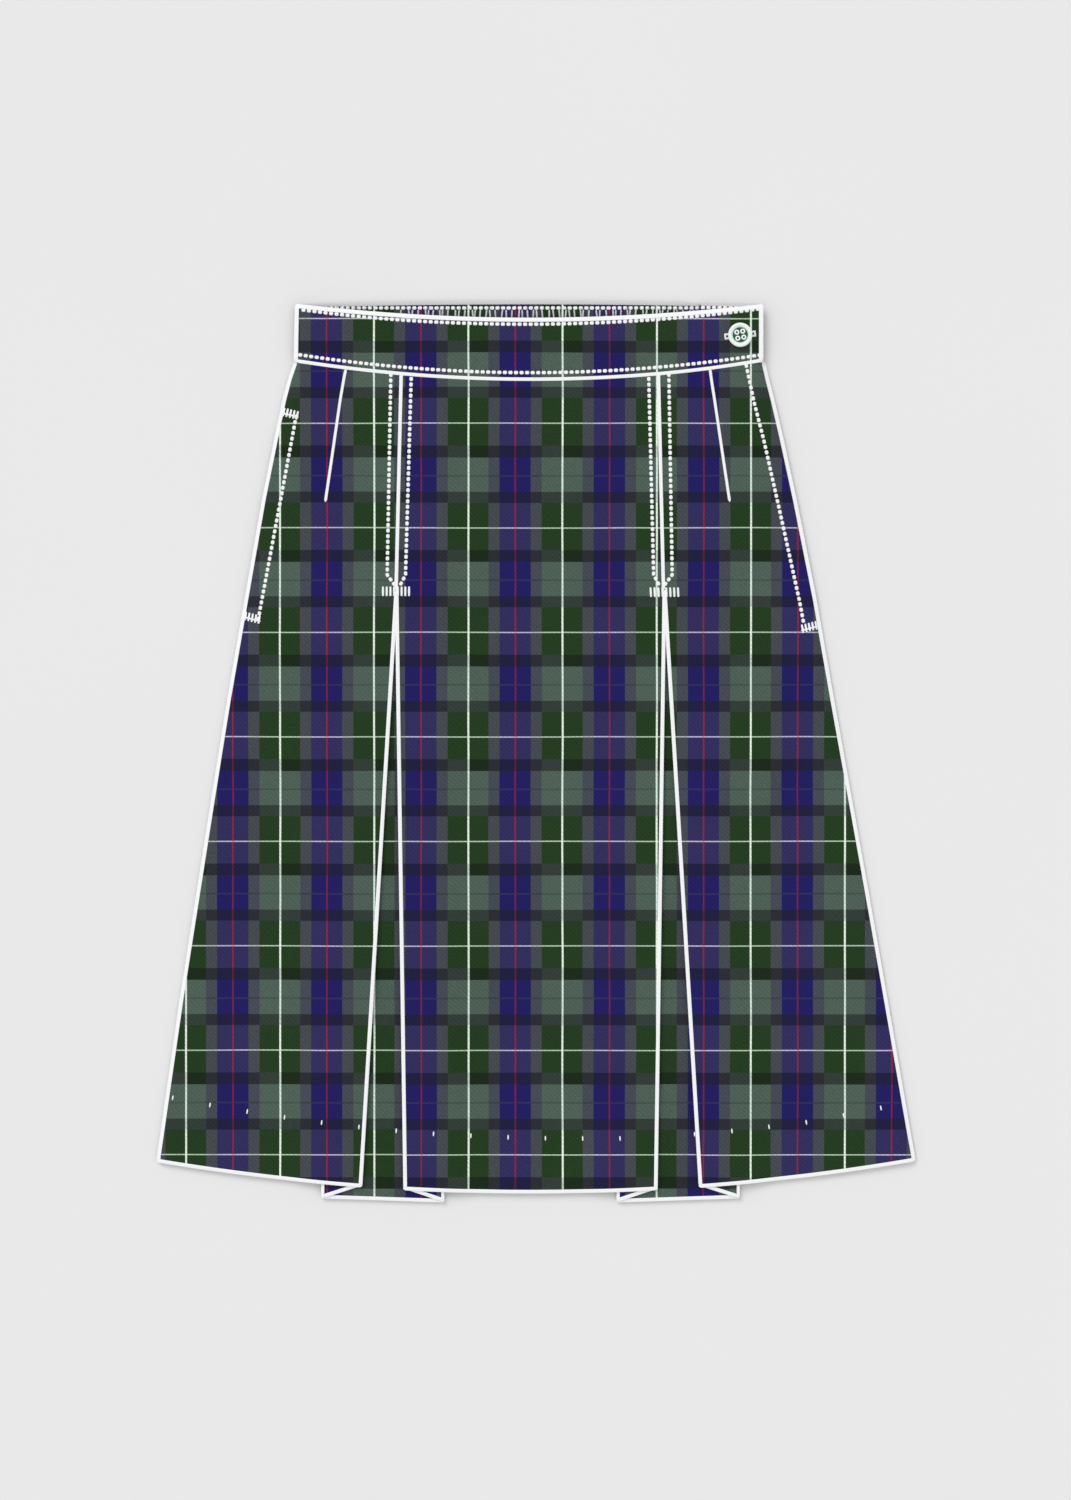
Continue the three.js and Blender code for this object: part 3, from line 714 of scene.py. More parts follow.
# %% Cloth pieces from their strips
def make_cloth(name, strips, thickness, material, solid, rim, upright=0):
    """A closed wall of cloth from strips of (x, drop, z) grids that lie side by side. rim is the share of the
    thickness at each row, or at each point, and upright is 1 where the faces lie straight above each other."""
    x, drop, z = (np.concatenate([np.broadcast_arrays(*part)[k] for part in strips], axis=1) for k in range(3))
    half = thickness / 2 * np.broadcast_to(rim, x.shape)
    faces = cloth_faces(x, drop, z, half, np.broadcast_to(upright, x.shape))
    points = np.concatenate([placed(f[..., 0], -f[..., 1], f[..., 2]).reshape(-1, 3) for f in faces])
    rows, columns = x.shape
    upper, lower = grid_quads(rows, columns), grid_quads(rows, columns, rows * columns)[:, ::-1]
    quads = np.concatenate([upper, lower, rim_quads(rows, columns)])
    piece = make_piece(name, points, quads, material, [solid])
    return piece


# %% [markdown]
# ## Strips of a panel
#
# A panel is put together across its width from strips: the flat cloth, a fold, the cloth turned back behind
# it. In each strip a column's x is a function of the drop, and the column itself runs from the waist seam
# to the hem, so that both ends of every column land exactly on the outline.

# %% Flat strips and folds
FOLD_TURN = np.radians(np.linspace(-90, 90, 13))[None, :]
FOLD_DEPTH = (CLOTH + GAP) / 2 + CLOTH / 2  # from a fold's outside to the flat cloth


def strip(column, t, foot=None):
    """x and drop of a strip, at shares t of the way from the waist seam to the hem, or to another foot."""
    top = waist_seam(column(np.full((1, 1), float(WAIST_SEAM["side"]))))
    if foot is None:
        foot = hem(column(np.full((1, 1), HEM["centre"])))
    drop = mix(top, foot, t)
    return column(drop), drop


def half_turn(edge, way, drop, lower, upper, thickness):
    """Half a turn of cloth from the lower layer to the upper: a half circle whose outside reaches the edge."""
    radius = (upper - lower) / 2
    centre = edge - way * (radius + thickness / 2)
    return (centre + way * radius * np.cos(FOLD_TURN), drop + 0 * FOLD_TURN,
            (lower + upper) / 2 + radius * np.sin(FOLD_TURN))


def pleat_fold(edge, way, t):
    x, drop = strip(edge, t)
    return half_turn(x, way, drop, return_middle(drop), over_pleat(drop), CLOTH)


def turned_back(edge, seam, way, underlay_foot, t):
    """The cloth behind a fold, from it to the seam with the underlay, whose hem its own slants down to."""
    s = np.linspace(0.14, 1, 7)[None, :]
    foot = mix(hem(edge(HEM["centre"])), underlay_foot - GAP, s)
    x, drop = strip(lambda d: mix(edge(d) - way * FOLD_DEPTH, seam(d), s), t, foot)
    return x, drop, return_middle(drop)


def reversed_strip(part):
    return tuple(array[:, ::-1] for array in np.broadcast_arrays(*part))


def mirrored(parts):
    """The same strips on the other side of the centre front, still running towards +x."""
    return [(-x, drop, z) for x, drop, z in map(reversed_strip, reversed(parts))]


def on_side(side, parts):
    """Strips that were worked out on the right, on the side that they are meant for."""
    return mirrored(parts) if side == "left" else parts


print("a fold is", len(FOLD_TURN[0]), "columns round and stands", FOLD_DEPTH, "mm out of the flat cloth")


# %% [markdown]
# Stitching pulls narrow grooves into the front: along the topstitched rows beside the pleats, along the
# rows beside the pocket mouths, and in the two darts, where a wedge of cloth is folded away inside. A
# groove is a bell curve across its line. Points will stand close together there and further apart on the
# open cloth.

# %% Rows of topstitching, darts and their grooves
PLEAT_ROWS = [(-96.4, -98.9), (-82.3, -86.25), (81.6, 85), (95.5, 97.8)]  # x at each row's upper and lower end
ROW_END = 188.0  # drop of their lower ends
POCKET_ROWS = {  # (x, drop) of the rows beside the pocket mouths
    "left": ([-161.4, -188.1], [77, 219.7]),
    "right": ([148.4, 154.2, 161.3, 173.7, 185.8, 188.5], [41.5, 68.7, 96.3, 151.5, 206.7, 221]),
}
# A dart runs between two shares of its side panel's width, at the waist and at its point. at is about its x.
DART = {"left": (0.512, 0.542), "right": (0.479, 0.511), "at": 120.0, "point": 137.5, "fade": 40,
        "depth": 0.5, "width": 1.3}
GROOVE, GROOVE_WIDTH = 0.22, 1.1
PUCKER = 0.35  # how much a groove's depth varies from stitch to stitch


def row_x(ends, drop):
    return mix(ends[0], ends[1], (drop - WAIST_SEAM["centre"]) / (ROW_END - WAIST_SEAM["centre"]))


def dart_line(x, drop):
    """Distance out of a dart: a share of its side panel's width, which grows a little down to its point."""
    down = share(WAIST_SEAM["side"], DART["point"], drop)
    part = np.where(np.asarray(x) < 0, mix(*DART["left"], down), mix(*DART["right"], down))
    return mix(side_fold(drop), side_edge(x, drop), part)


def bell(distance, width):
    return np.exp(-((distance / width) ** 2))


def grooves(x, drop):
    """Depth of all the grooves at a place on the front."""
    beside_pleats = sum(bell(x - row_x(ends, drop), GROOVE_WIDTH) for ends in PLEAT_ROWS)
    beside_pleats = beside_pleats * (1 - ease(ROW_END - 2, ROW_END + 8, drop))
    beside_pockets = 0
    for row, drops in POCKET_ROWS.values():
        stitched = ease(drops[0] - 4, drops[0], drop) * (1 - ease(drops[-1], drops[-1] + 4, drop))
        beside_pockets = beside_pockets + bell(x - np.interp(drop, drops, row), GROOVE_WIDTH) * stitched
    pucker = 1 + PUCKER * np.sin(drop * 0.55 + x)
    fading = 1 - ease(DART["point"] - DART["fade"], DART["point"], drop)
    dart = DART["depth"] * bell(np.abs(x) - dart_line(x, drop), DART["width"]) * fading
    return GROOVE * pucker * (beside_pleats + beside_pockets) + dart


def front_lying(x, drop):
    """Middle height of the front cloth with its grooves."""
    return front_middle(x, drop) - grooves(x, drop)


print("deepest groove, mm:", round(float(grooves(dart_line(1, 80.0), 80.0)), 2))


# %% [markdown]
# ## The centre panel
#
# Its right half is flat cloth from the centre front to the fold, then the fold, then the cloth turned back.
# The left half is its mirror image. Panels are cut on the straight grain, so this one is almost a
# rectangle.

# %% Centre panel
PANEL_LENGTH = HEM["centre"] - WAIST_SEAM["centre"]
DOWN = down_the_panel(186, PANEL_LENGTH)
ENDS = rounded(DOWN, PANEL_LENGTH)
BESIDE_FOLD = np.array([0.9, 1.8, 2.8, 3.6, 4.4, 5.1, 5.8, 6.6, 7.6, 9, 11, 13.5])
HALF_FLAT = 88.0  # about the width of the flat half, by which distances from the fold become shares of it
further = np.arange(16.5, HALF_FLAT, 3.1)
out_shares = 1 - np.concatenate([BESIDE_FOLD, further, [HALF_FLAT]])[::-1][None, :] / HALF_FLAT


def centre_flat(drop):
    return (centre_fold(drop) - FOLD_DEPTH) * out_shares


x, drop = strip(centre_flat, DOWN)
behind = [
    reversed_strip(pleat_fold(centre_fold, 1, DOWN)),
    turned_back(centre_fold, centre_return, 1, UNDERLAY_HEM["inner"], DOWN),
]
right_half = [(x, drop, front_lying(x, drop)), *behind]
left_half = mirrored([(x[:, 1:], drop[:, 1:], front_lying(-x, drop)[:, 1:]), *behind])
make_cloth("cloth_front_centre", left_half + right_half, CLOTH, tartan_twill,
           "front_centre_panel",
           rim=ENDS)

# %% [markdown]
# ## The side panels
#
# Each side panel starts behind its pleat, comes round the fold, lies flat with its dart and pocket row, and
# bends down to the side seam along a quarter of an ellipse. Along the pocket's mouth its edge stands a
# little back from the seam. The left panel is worked out on the right, with its own measurements, and
# mirrored.

# %% Side panels
SIDE_SEAM_Z = 2.2  # height of the side seams
BEND = np.radians(np.array([8, 18, 28, 38, 48, 58, 68, 78, 86, 90]))[None, :]
ACROSS_DART = np.array([-3, -2, -1.3, -0.6, 0, 0.6, 1.3, 2, 3])[None, :]
BESIDE_SEAM = np.array([-9.5, -7.6, -6, -4.6, -3.6, -2.8, -2, -1.2, -0.5])[None, :]
BETWEEN = np.linspace(0, 1, 14)[None, 1:-1]
OUTWARD = {"left": -1, "right": 1}


def mouth(side, drop):
    """How far a pocket's edge stands back: nothing at both ends of the mouth and all of it in between."""
    top, end = MOUTH[side]
    opening = ease(top, top + POCKET["mouth_taper"], drop)
    return POCKET["mouth_open"] * opening * (1 - ease(end - POCKET["mouth_taper"], end, drop))


def side_strips(side):
    """Strips of a side panel on the right of the skirt, with that side's measurements."""
    sign = OUTWARD[side]
    nearest = BESIDE_FOLD[None, :]

    def after_fold(drop):
        return side_fold(drop) + FOLD_DEPTH + nearest

    def over_dart(drop):
        return dart_line(sign, drop) + ACROSS_DART

    def before_seam(drop):
        return bend_from(sign, drop) + BESIDE_SEAM

    def first_stretch(drop):
        return mix(side_fold(drop) + FOLD_DEPTH + nearest.max(),
                   dart_line(sign, drop) + ACROSS_DART.min(), BETWEEN)

    def second_stretch(drop):
        return mix(dart_line(sign, drop) + ACROSS_DART.max(),
                   bend_from(sign, drop) + BESIDE_SEAM.min(), BETWEEN)

    parts = [
        reversed_strip(turned_back(side_fold, side_return, -1, UNDERLAY_HEM["outer"], DOWN)),
        pleat_fold(side_fold, -1, DOWN),
    ]
    for column in (after_fold, first_stretch, over_dart, second_stretch, before_seam):
        x, drop = strip(column, DOWN)
        parts.append((x, drop, front_lying(sign * x, drop)))
    x, drop = strip(lambda d: bend_from(sign, d) + FRONT_CURL * np.sin(BEND), DOWN)
    low = SIDE_SEAM_Z + GAP / 2 + mouth(side, drop)
    start = bend_from(sign, drop)
    bent = low + (front_middle(sign * start, drop) - low) * np.cos(BEND)
    parts.append((x, drop, bent))
    return parts


for side in ("left", "right"):
    parts = side_strips(side)
    make_cloth(f"cloth_front_side_{side}", on_side(side, parts), CLOTH, tartan_twill,
               f"front_side_panel_{side}",
               rim=ENDS)

# %% [markdown]
# ## The underlays
#
# An underlay is one plain tapered piece that lies flat between the back and the two returns. It is seen
# only through the open pleat and below the front's hem, where it is a little longer.

# %% Underlays
ACROSS_UNDERLAY = np.linspace(0, 1, 25)[None, :]
for side in ("left", "right"):
    foot = mix(UNDERLAY_HEM["inner"], UNDERLAY_HEM["outer"], ACROSS_UNDERLAY)
    x, drop = strip(lambda d: mix(centre_return(d), side_return(d), ACROSS_UNDERLAY), DOWN, foot)
    parts = [(x, drop, underlay_middle(drop))]
    make_cloth(f"cloth_underlay_{side}", on_side(side, parts), CLOTH, tartan_twill,
               f"pleat_underlay_{side}", rim=ENDS)

# %% [markdown]
# ## The back panel
#
# The back lies flat on the table with its right side down. The elastic above it gathers its top edge, so
# soft flutes run down from the waist, each a raised cosine that never goes below the table, and they fade
# as the cloth widens. A slow wander in their spacing keeps them from looking machined.

# %% Back panel
BACK_CURL = 4  # width over which the back bends up to the side seams
PER_FLUTE = 7


def flute_profile(across):
    """Raised cosines, one for each flute, with a slow wander. across is a share of the panel's width."""
    wander = 0.16 * np.sin(across * 23) + 0.11 * np.sin(across * 51 + 1)
    return 0.5 - 0.5 * np.cos(2 * np.pi * (across * FLUTES["count"] + wander))


def back_edge(sign, drop):
    return side_edge(sign, drop) - CLOTH / 2 - BACK_CURL


def back_strip(column):
    """x and drop of a strip of the back, from its own waist seam to its own, shorter hem."""
    foot = hem(column(np.full((1, 1), HEM["centre"]))) - BACK_HEM_SHORTER
    drop = mix(BACK_SEAM + GAP, foot, DOWN)
    return column(drop), drop


def back_bend(side):
    """The bend up to a side seam, worked out on the right."""
    sign = OUTWARD[side]
    x, drop = back_strip(lambda d: back_edge(sign, d) + BACK_CURL * np.sin(BEND))
    top = SIDE_SEAM_Z - GAP / 2 - mouth(side, drop)
    return x, drop, top + (CLOTH / 2 - top) * np.cos(BEND)


across = np.linspace(0, 1, FLUTES["count"] * PER_FLUTE + 1)[None, :]
x, drop = back_strip(lambda d: mix(-back_edge(-1, d), back_edge(1, d), across))
lying = (x, drop, CLOTH / 2 + flute(drop) * flute_profile(across))
make_cloth("cloth_back", [*mirrored([back_bend("left")]), lying, back_bend("right")], CLOTH, tartan_twill,
           "back_panel", rim=ENDS)

# %% [markdown]
# ## The pocket bags
#
# A bag is one piece of pocketing folded along its inner edge and sewn into the side seam by its outer ones.
# Here it is two layers and a half turn between them, with a rounded lower end.

# %% Pocket bags
BAG_DOWN = np.concatenate([np.linspace(0, 0.8, 30), 0.8 + 0.2 * np.sin(np.linspace(0, 1, 19)[1:] * np.pi / 2)])
BAG_ACROSS = np.linspace(0, 1, 12)[None, 1:]


def bag_strips(side):
    sign = OUTWARD[side]
    drop = mix(POCKET["top"], POCKET["end"], BAG_DOWN[:, None])
    turn = half_turn(bag_inner(drop), -1, drop, bag_lower(drop), bag_upper(drop), LINING)
    layer_x = mix(turn[0][:, :1], bag_outer(sign, drop), BAG_ACROSS)
    return [reversed_strip((layer_x, drop, bag_lower(drop))), turn, (layer_x, drop, bag_upper(drop))]


bag_ends = rounded(BAG_DOWN[:, None], POCKET["end"] - POCKET["top"])
for side in ("left", "right"):
    parts = bag_strips(side)
    make_cloth(f"cloth_pocket_bag_{side}", on_side(side, parts), LINING, cotton_pocketing,
               f"pocket_bag_{side}", rim=bag_ends)

# %% [markdown]
# ## The back waistband
#
# The back band is a folded strip with elastic in it, so it bunches into upright gathers. At the wearer's
# left it is plain, and it folds forward as the underlap that the button is sewn to. A gather is a raised
# cosine, and two slow sines make some gathers wide and some narrow. The gathers are steep, so here both
# faces of the band stand straight above each other, which keeps the inner face from crossing itself.

# %% Back waistband
BAND, BACK_BAND = 2.2, 2.0  # thicknesses of the folded front and back bands
GATHERS = {"count": 80, "from": -150, "to": 112, "height": 1.2, "fade": 6}
PER_GATHER = 7
FOLD_ROOM = 0.6  # between the back band and the underlap folded over it
UNDERLAP = {"end": 117, "middle": BACK_BAND * 1.5 + FOLD_ROOM}
BAND_SEAM_Z = 3.4  # height of the band's side seam
BAND_CURL = 5  # width over which both bands bend to it
close = [0, 0.008, 0.02, 0.04]
BAND_DOWN = np.concatenate([close, np.linspace(0.06, 0.94, 34), [0.96, 0.98, 0.992, 1]])[:, None]
BAND_HEIGHT = WAIST_SEAM["centre"] - BAND_TOP["centre"]


def gather_turns(x):
    """How many gathers there are from the first to x, a whole number in each furrow."""
    wander = 0.32 * np.sin(x * 0.19) + 0.13 * np.sin(x * 0.53 + 1)
    return GATHERS["count"] * share(GATHERS["from"], GATHERS["to"], x) + wander


def gather_height(x, t):
    """Height of the gathers: fullest at the seam, a little pressed where the elastic is."""
    full = np.interp(t, [0, 0.14, 0.86, 1], [0.9, 0.6, 1, 0.9])
    start, end, fade = (GATHERS[key] for key in ("from", "to", "fade"))
    fading = ease(start, start + fade, x) * (1 - ease(end - fade, end, x))
    uneven = 0.82 + 0.18 * np.sin(x * 0.41)
    return GATHERS["height"] * full * fading * uneven * (0.5 - 0.5 * np.cos(2 * np.pi * gather_turns(x)))


def back_band_strip(x, z):
    return x, mix(back_top(x), BACK_SEAM, BAND_DOWN), z


def band_bend(thickness, level, seam):
    """x and z of a band's quarter bend from its side seam, at the wearer's right, to where it lies level."""
    start = BAND_HALF["left"] - thickness / 2 - BAND_CURL
    return -(start + BAND_CURL * np.sin(BEND))[:, ::-1], (seam + (level - seam) * np.cos(BEND))[:, ::-1]


low = BACK_BAND / 2
bend_x, bend_z = band_bend(BACK_BAND, low, BAND_SEAM_Z - GAP / 2)
level_x = np.array([[bend_x[0, -1] + 0.9, -153.5]])
gathered_x = np.linspace(GATHERS["from"], GATHERS["to"], GATHERS["count"] * PER_GATHER + 1)[None, :]
turn_x, _, turn_z = half_turn(BAND_HALF["right"] - GAP, 1, 0, low, UNDERLAP["middle"], BACK_BAND)
plain_x = np.linspace(GATHERS["to"], turn_x[0, 0], 14)[None, 1:-1]
lap_x = np.linspace(turn_x[0, -1], UNDERLAP["end"], 14)[None, 1:]
parts = [
    back_band_strip(bend_x, bend_z),
    back_band_strip(level_x, low),
    back_band_strip(gathered_x, low + gather_height(gathered_x, BAND_DOWN)),
    back_band_strip(plain_x, low),
    back_band_strip(turn_x, turn_z),
    back_band_strip(lap_x, UNDERLAP["middle"]),
]
upright = np.concatenate([np.full(part[0].shape[-1], float(part[0] is gathered_x)) for part in parts])
band_ends = rounded(BAND_DOWN, BAND_HEIGHT, over=0.9)
make_cloth("cloth_waistband_back", parts, BACK_BAND, tartan_twill, "waistband_back",
           band_ends, upright)

# %% [markdown]
# ## The front waistband
#
# The front band is interfaced, so it lies smooth. Folded edges make its top and bottom round, and its two
# rows of topstitching press it in, which leaves it plump between them. At the wearer's left it ends free
# over the underlap, and there it has the buttonhole, a real slit. The slit is cut with a Boolean modifier
# whose result becomes the mesh, since one straight cut isn't worth bending a whole grid round.

# %% Front waistband
BAND_MIDDLE = BACK_BAND * 2 + FOLD_ROOM + GAP + BAND / 2
BAND_CLEAR = 0.42  # between the band and the panels below it
ROW_BELOW_TOP, ROW_ABOVE_SEAM = 3.2, 4.25  # the band's two rows of topstitching
PRESSED, PRESSED_WIDTH = 0.2, 1.3  # share of the thickness that a row presses away, and its half-width in mm
BAND_EDGE_ROUND = 1.1
BUTTONHOLE = {"length": 22, "width": 0.8}
BUTTON_SLOPE = (band_top(BUTTON["x"] - 1) - band_top(BUTTON["x"] + 1)) / 2  # the band rises towards its end


def plumpness(t):
    """The band's thickness down it: rounded at both edges and pressed in along both rows of stitching."""
    upper = bell(t * BAND_HEIGHT - ROW_BELOW_TOP, PRESSED_WIDTH)
    lower = bell((1 - t) * BAND_HEIGHT - ROW_ABOVE_SEAM, PRESSED_WIDTH)
    return rounded(t, BAND_HEIGHT, over=BAND_EDGE_ROUND) * (1 - PRESSED * (upper + lower))


def prism(outline, low_z, high_z):
    """A plain solid to cut with: an outline of (x, drop) points, from one height to another."""
    count = len(outline)
    points = np.concatenate([placed(outline[:, 0], outline[:, 1], z) for z in (low_z, high_z)])
    sides = [[i, (i + 1) % count, (i + 1) % count + count, i + count] for i in range(count)]
    mesh = bpy.data.meshes.new("cutter")
    mesh.from_pydata(points.tolist(), [], [list(range(count))[::-1], list(range(count, 2 * count)), *sides])
    return in_scene("cutter", mesh)


def cut_away(piece, cutter):
    """Takes the cutter out of the piece for good, and clears the cutter away."""
    modifier = piece.modifiers.new("cut", "BOOLEAN")
    modifier.operation, modifier.solver, modifier.object = "DIFFERENCE", "EXACT", cutter
    ready = bpy.context.evaluated_depsgraph_get()
    result = bpy.data.meshes.new_from_object(piece.evaluated_get(ready))
    piece.modifiers.clear()
    before, piece.data = piece.data, result
    spent = cutter.data
    bpy.data.objects.remove(cutter)
    for mesh in (before, spent):
        bpy.data.meshes.remove(mesh)
    print(f"{piece.name}: {len(result.polygons)} faces after the cut")


def turned(points, slope):
    """Points (x, drop) about the button's centre, turned to the band's slope."""
    angle = np.arctan(slope)
    x, up = points[:, 0], points[:, 1]
    return np.stack([BUTTON["x"] + x * np.cos(angle) - up * np.sin(angle),
                     BUTTON["drop"] - x * np.sin(angle) - up * np.cos(angle)], axis=-1)


bend_x, bend_z = band_bend(BAND, BAND_MIDDLE, BAND_SEAM_Z + GAP / 2)
free_end = BAND_HALF["right"] - np.array([1.2, 0.6, 0.35, 0.15, 0])
flat_x = np.concatenate([np.linspace(bend_x[0, -1] + 0.9, free_end[0] - 1.2, 136), free_end])[None, :]
parts = [(x, mix(band_top(x), waist_seam(x) - BAND_CLEAR, BAND_DOWN), z)
         for x, z in ((bend_x, bend_z), (flat_x, BAND_MIDDLE))]
flat_length = BAND_HALF["right"] - flat_x[0, 0]
to_the_end = 0.5 + 0.5 * share(flat_x[0, 0], BAND_HALF["right"], flat_x[0])  # only the free end is rounded
end_round = np.concatenate([np.ones(bend_x.shape[1]), rounded(to_the_end, 2 * flat_length, BAND_EDGE_ROUND)])
front_band = make_cloth("cloth_waistband_front", parts, BAND, tartan_twill, "waistband_front",
                        plumpness(BAND_DOWN) * end_round)
half_hole = np.array([BUTTONHOLE["length"], BUTTONHOLE["width"]]) / 2
corners = half_hole * np.array([[-1, -1], [1, -1], [1, 1], [-1, 1]])
cut_away(front_band, prism(turned(corners, BUTTON_SLOPE), BAND_MIDDLE - BAND * 1.5, BAND_MIDDLE + BAND * 1.5))

# %% [markdown]
# ## The button
#
# A four-hole shirt-style button is turned from a disc of cast polyester: a rounded rim, a slope down from
# it and a flat well with the holes. That is a profile carried round an axis. Four raised eyelets, each a
# small ring, stand round the holes. The well is dyed deep green and the rest is milk white, so its colour
# follows the distance from the axis, with a mint tint where the white thins on the slope. Polyester is hard
# and polished: its highlights are small and clear.

# %% Cast polyester
WELL_RADIUS, CREST_RADIUS = 5.1, 7.0
DYES = [(0, "#11563F"), (0.61, "#11563F"), (0.64, "#C8E6D8"), (0.72, "#F0F8F3"), (1, "#F7FAF7")]  # axis to rim


def button_material():
    """Polished polyester, its colour from the distance to the button's axis, clouded as cast resin is."""
    material, tree, shader = new_material("cast_polyester", Specular_IOR_Level=0.3, Coat_Weight=0.1,
                                          Coat_Roughness=0.1)
    place = place_on(tree)
    axis = placed(BUTTON["x"], BUTTON["drop"], 0).ravel()
    about = add_node(tree, "ShaderNodeVectorMath", {"operation": "SUBTRACT"}, {0: place, 1: axis.tolist()})
    flat = add_node(tree, "ShaderNodeVectorMath", {"operation": "MULTIPLY"},
                    {0: about.outputs[0], 1: (1, 1, 0)})
    radius = add_node(tree, "ShaderNodeVectorMath", {"operation": "LENGTH"}, {0: flat.outputs[0]})
    out = add_node(tree, "ShaderNodeMapRange",
                   inputs={"Value": radius.outputs["Value"], "From Max": BUTTON["radius"] * MM})
    rings = add_node(tree, "ShaderNodeValToRGB", inputs={"Fac": out.outputs[0]})
    ramp = rings.color_ramp.elements
    while len(ramp) < len(DYES):
        ramp.new(0.5)
    for element, (position, dye) in zip(ramp, DYES):
        element.position, element.color = position, linear(dye)
    cloud = add_node(tree, "ShaderNodeTexNoise", inputs={"Vector": place, "Scale": 260, "Detail": 3})
    cloud = cloud.outputs["Fac"]
    tint = add_node(tree, "ShaderNodeMapRange", inputs={"Value": cloud, "To Min": 0.94, "To Max": 1.03})
    shaded = add_node(tree, "ShaderNodeVectorMath", {"operation": "SCALE"},
                      {0: rings.outputs["Color"], "Scale": tint.outputs[0]})
    apply_finish(tree, shader, shaded.outputs[0], cloud, 0.2, 0.34)
    return material


def eyelet_material():
    """The same resin left milk white, as cast, for the eyelets."""
    material, tree, shader = new_material("milk_white_polyester", Specular_IOR_Level=0.5, IOR=1.56)
    colour, cloud = uneven_dye(tree, place_on(tree), 400, 2, "#F2F8F4", "#FFFFFF")
    apply_finish(tree, shader, colour, cloud, 0.22, 0.36)
    return material


button_plastic, eyelet_plastic = button_material(), eyelet_material()
print("resins:", button_plastic.name, "and", eyelet_plastic.name)

# %% [markdown]
# The profile starts under the button on its axis, goes out along its flat underside, round the edge as a
# half circle, over the rim's crest, down the slope and back to the axis across the well. Points on the axis
# coincide, so they are merged to close both poles.

# %% Button body and eyelets
BUTTON_Z = BAND_MIDDLE + BAND / 2 + GAP
WELL_DEPTH = 0.95
EYELET = {"out": 2.95, "radius": 1.25, "wire": 0.55, "hole": 0.75, "rise": 0.35}
EYELET_SLOPE = 0.176  # the four holes are turned a little further than the band
round_edge = np.radians(np.linspace(-90, 90, 13))
half_height = BUTTON["height"] / 2
edge_r = CREST_RADIUS + (BUTTON["radius"] - CREST_RADIUS) * np.cos(round_edge)
slope_t = np.linspace(0, 1, 8)[1:]
profile_r = np.concatenate([[0, 3, 5.5], edge_r, mix(CREST_RADIUS, WELL_RADIUS, slope_t), [3.5, 1.8, 0]])
profile_z = np.concatenate([[0, 0, 0], half_height * (1 + np.sin(round_edge)),
                            BUTTON["height"] - WELL_DEPTH * ease(0, 1, slope_t),
                            [BUTTON["height"] - WELL_DEPTH] * 3])
round_angle = np.linspace(0, 2 * np.pi, 73)[None, :-1]


def merge_doubles(piece):
    """Joins points that coincide, such as the ones at a pole."""
    shape = bmesh.new()
    shape.from_mesh(piece.data)
    bmesh.ops.remove_doubles(shape, verts=shape.verts, dist=1e-7)
    shape.to_mesh(piece.data)
    shape.free()


around_x, around_up = profile_r[:, None] * np.cos(round_angle), profile_r[:, None] * np.sin(round_angle)
points = placed(BUTTON["x"] + around_x, BUTTON["drop"] - around_up, BUTTON_Z + profile_z[:, None])
quads = ring_quads(np.arange(around_x.size).reshape(around_x.shape))
button = make_piece("button_body", points.reshape(-1, 3), quads, button_plastic, ["button"])
merge_doubles(button)
square = EYELET["out"] / np.sqrt(2) * np.array([[1, 1], [-1, 1], [-1, -1], [1, -1]])
eyes = turned(square, EYELET_SLOPE)
hole_angle = np.linspace(0, -2 * np.pi, 25)[:-1]
hole_outline = EYELET["hole"] * np.stack([np.cos(hole_angle), np.sin(hole_angle)], axis=-1)
for eye in eyes:
    cut_away(button, prism(eye + hole_outline, BUTTON_Z - 1, BUTTON_Z + BUTTON["height"] + 1))

wire_angle, eye_angle = np.linspace(0, 2 * np.pi, 11)[:-1, None], np.linspace(0, 2 * np.pi, 25)[None, :-1]
eyelet_r = EYELET["radius"] + EYELET["wire"] * np.cos(wire_angle)
eyelet_z = BUTTON_Z + BUTTON["height"] - WELL_DEPTH + EYELET["rise"] + EYELET["wire"] * np.sin(wire_angle)
rings = np.stack([placed(eye[0] + eyelet_r * np.cos(eye_angle), eye[1] - eyelet_r * np.sin(eye_angle), eyelet_z)
                  for eye in eyes])
number = np.arange(rings[..., 0].size).reshape(rings.shape[:3])
quads = ring_quads(np.concatenate([number, number[:, :1]], axis=1))
make_piece("button_eyelets", rings.reshape(-1, 3), quads, eyelet_plastic)

# %% [markdown]
# ## Laying thread
#
# All the sewing that shows is thread: long cords along the edges, short stitches and bars. Each is a tube
# with eight sides, flattened onto the cloth: its rings are half ellipses above the path and below it. Both
# ends taper and are closed with three quads. Many stitches of the same number of points are made in one go,
# as one array.

# %% Tubes along paths
AROUND = 8
RING = np.arange(AROUND) * 2 * np.pi / AROUND
FLATTENED = 0.5  # 1 for an elliptical thread, less for one pressed flatter
CAP = np.array([[0, 1, 2, 3], [0, 3, 4, 7], [4, 5, 6, 7]])


def walk(x, drop):
    """Distance walked along lines of points: the running sum of the lengths of their steps."""
    steps = np.hypot(np.diff(x), np.diff(drop))
    return np.concatenate([np.zeros((*steps.shape[:-1], 1)), np.cumsum(steps, axis=-1)], axis=-1)


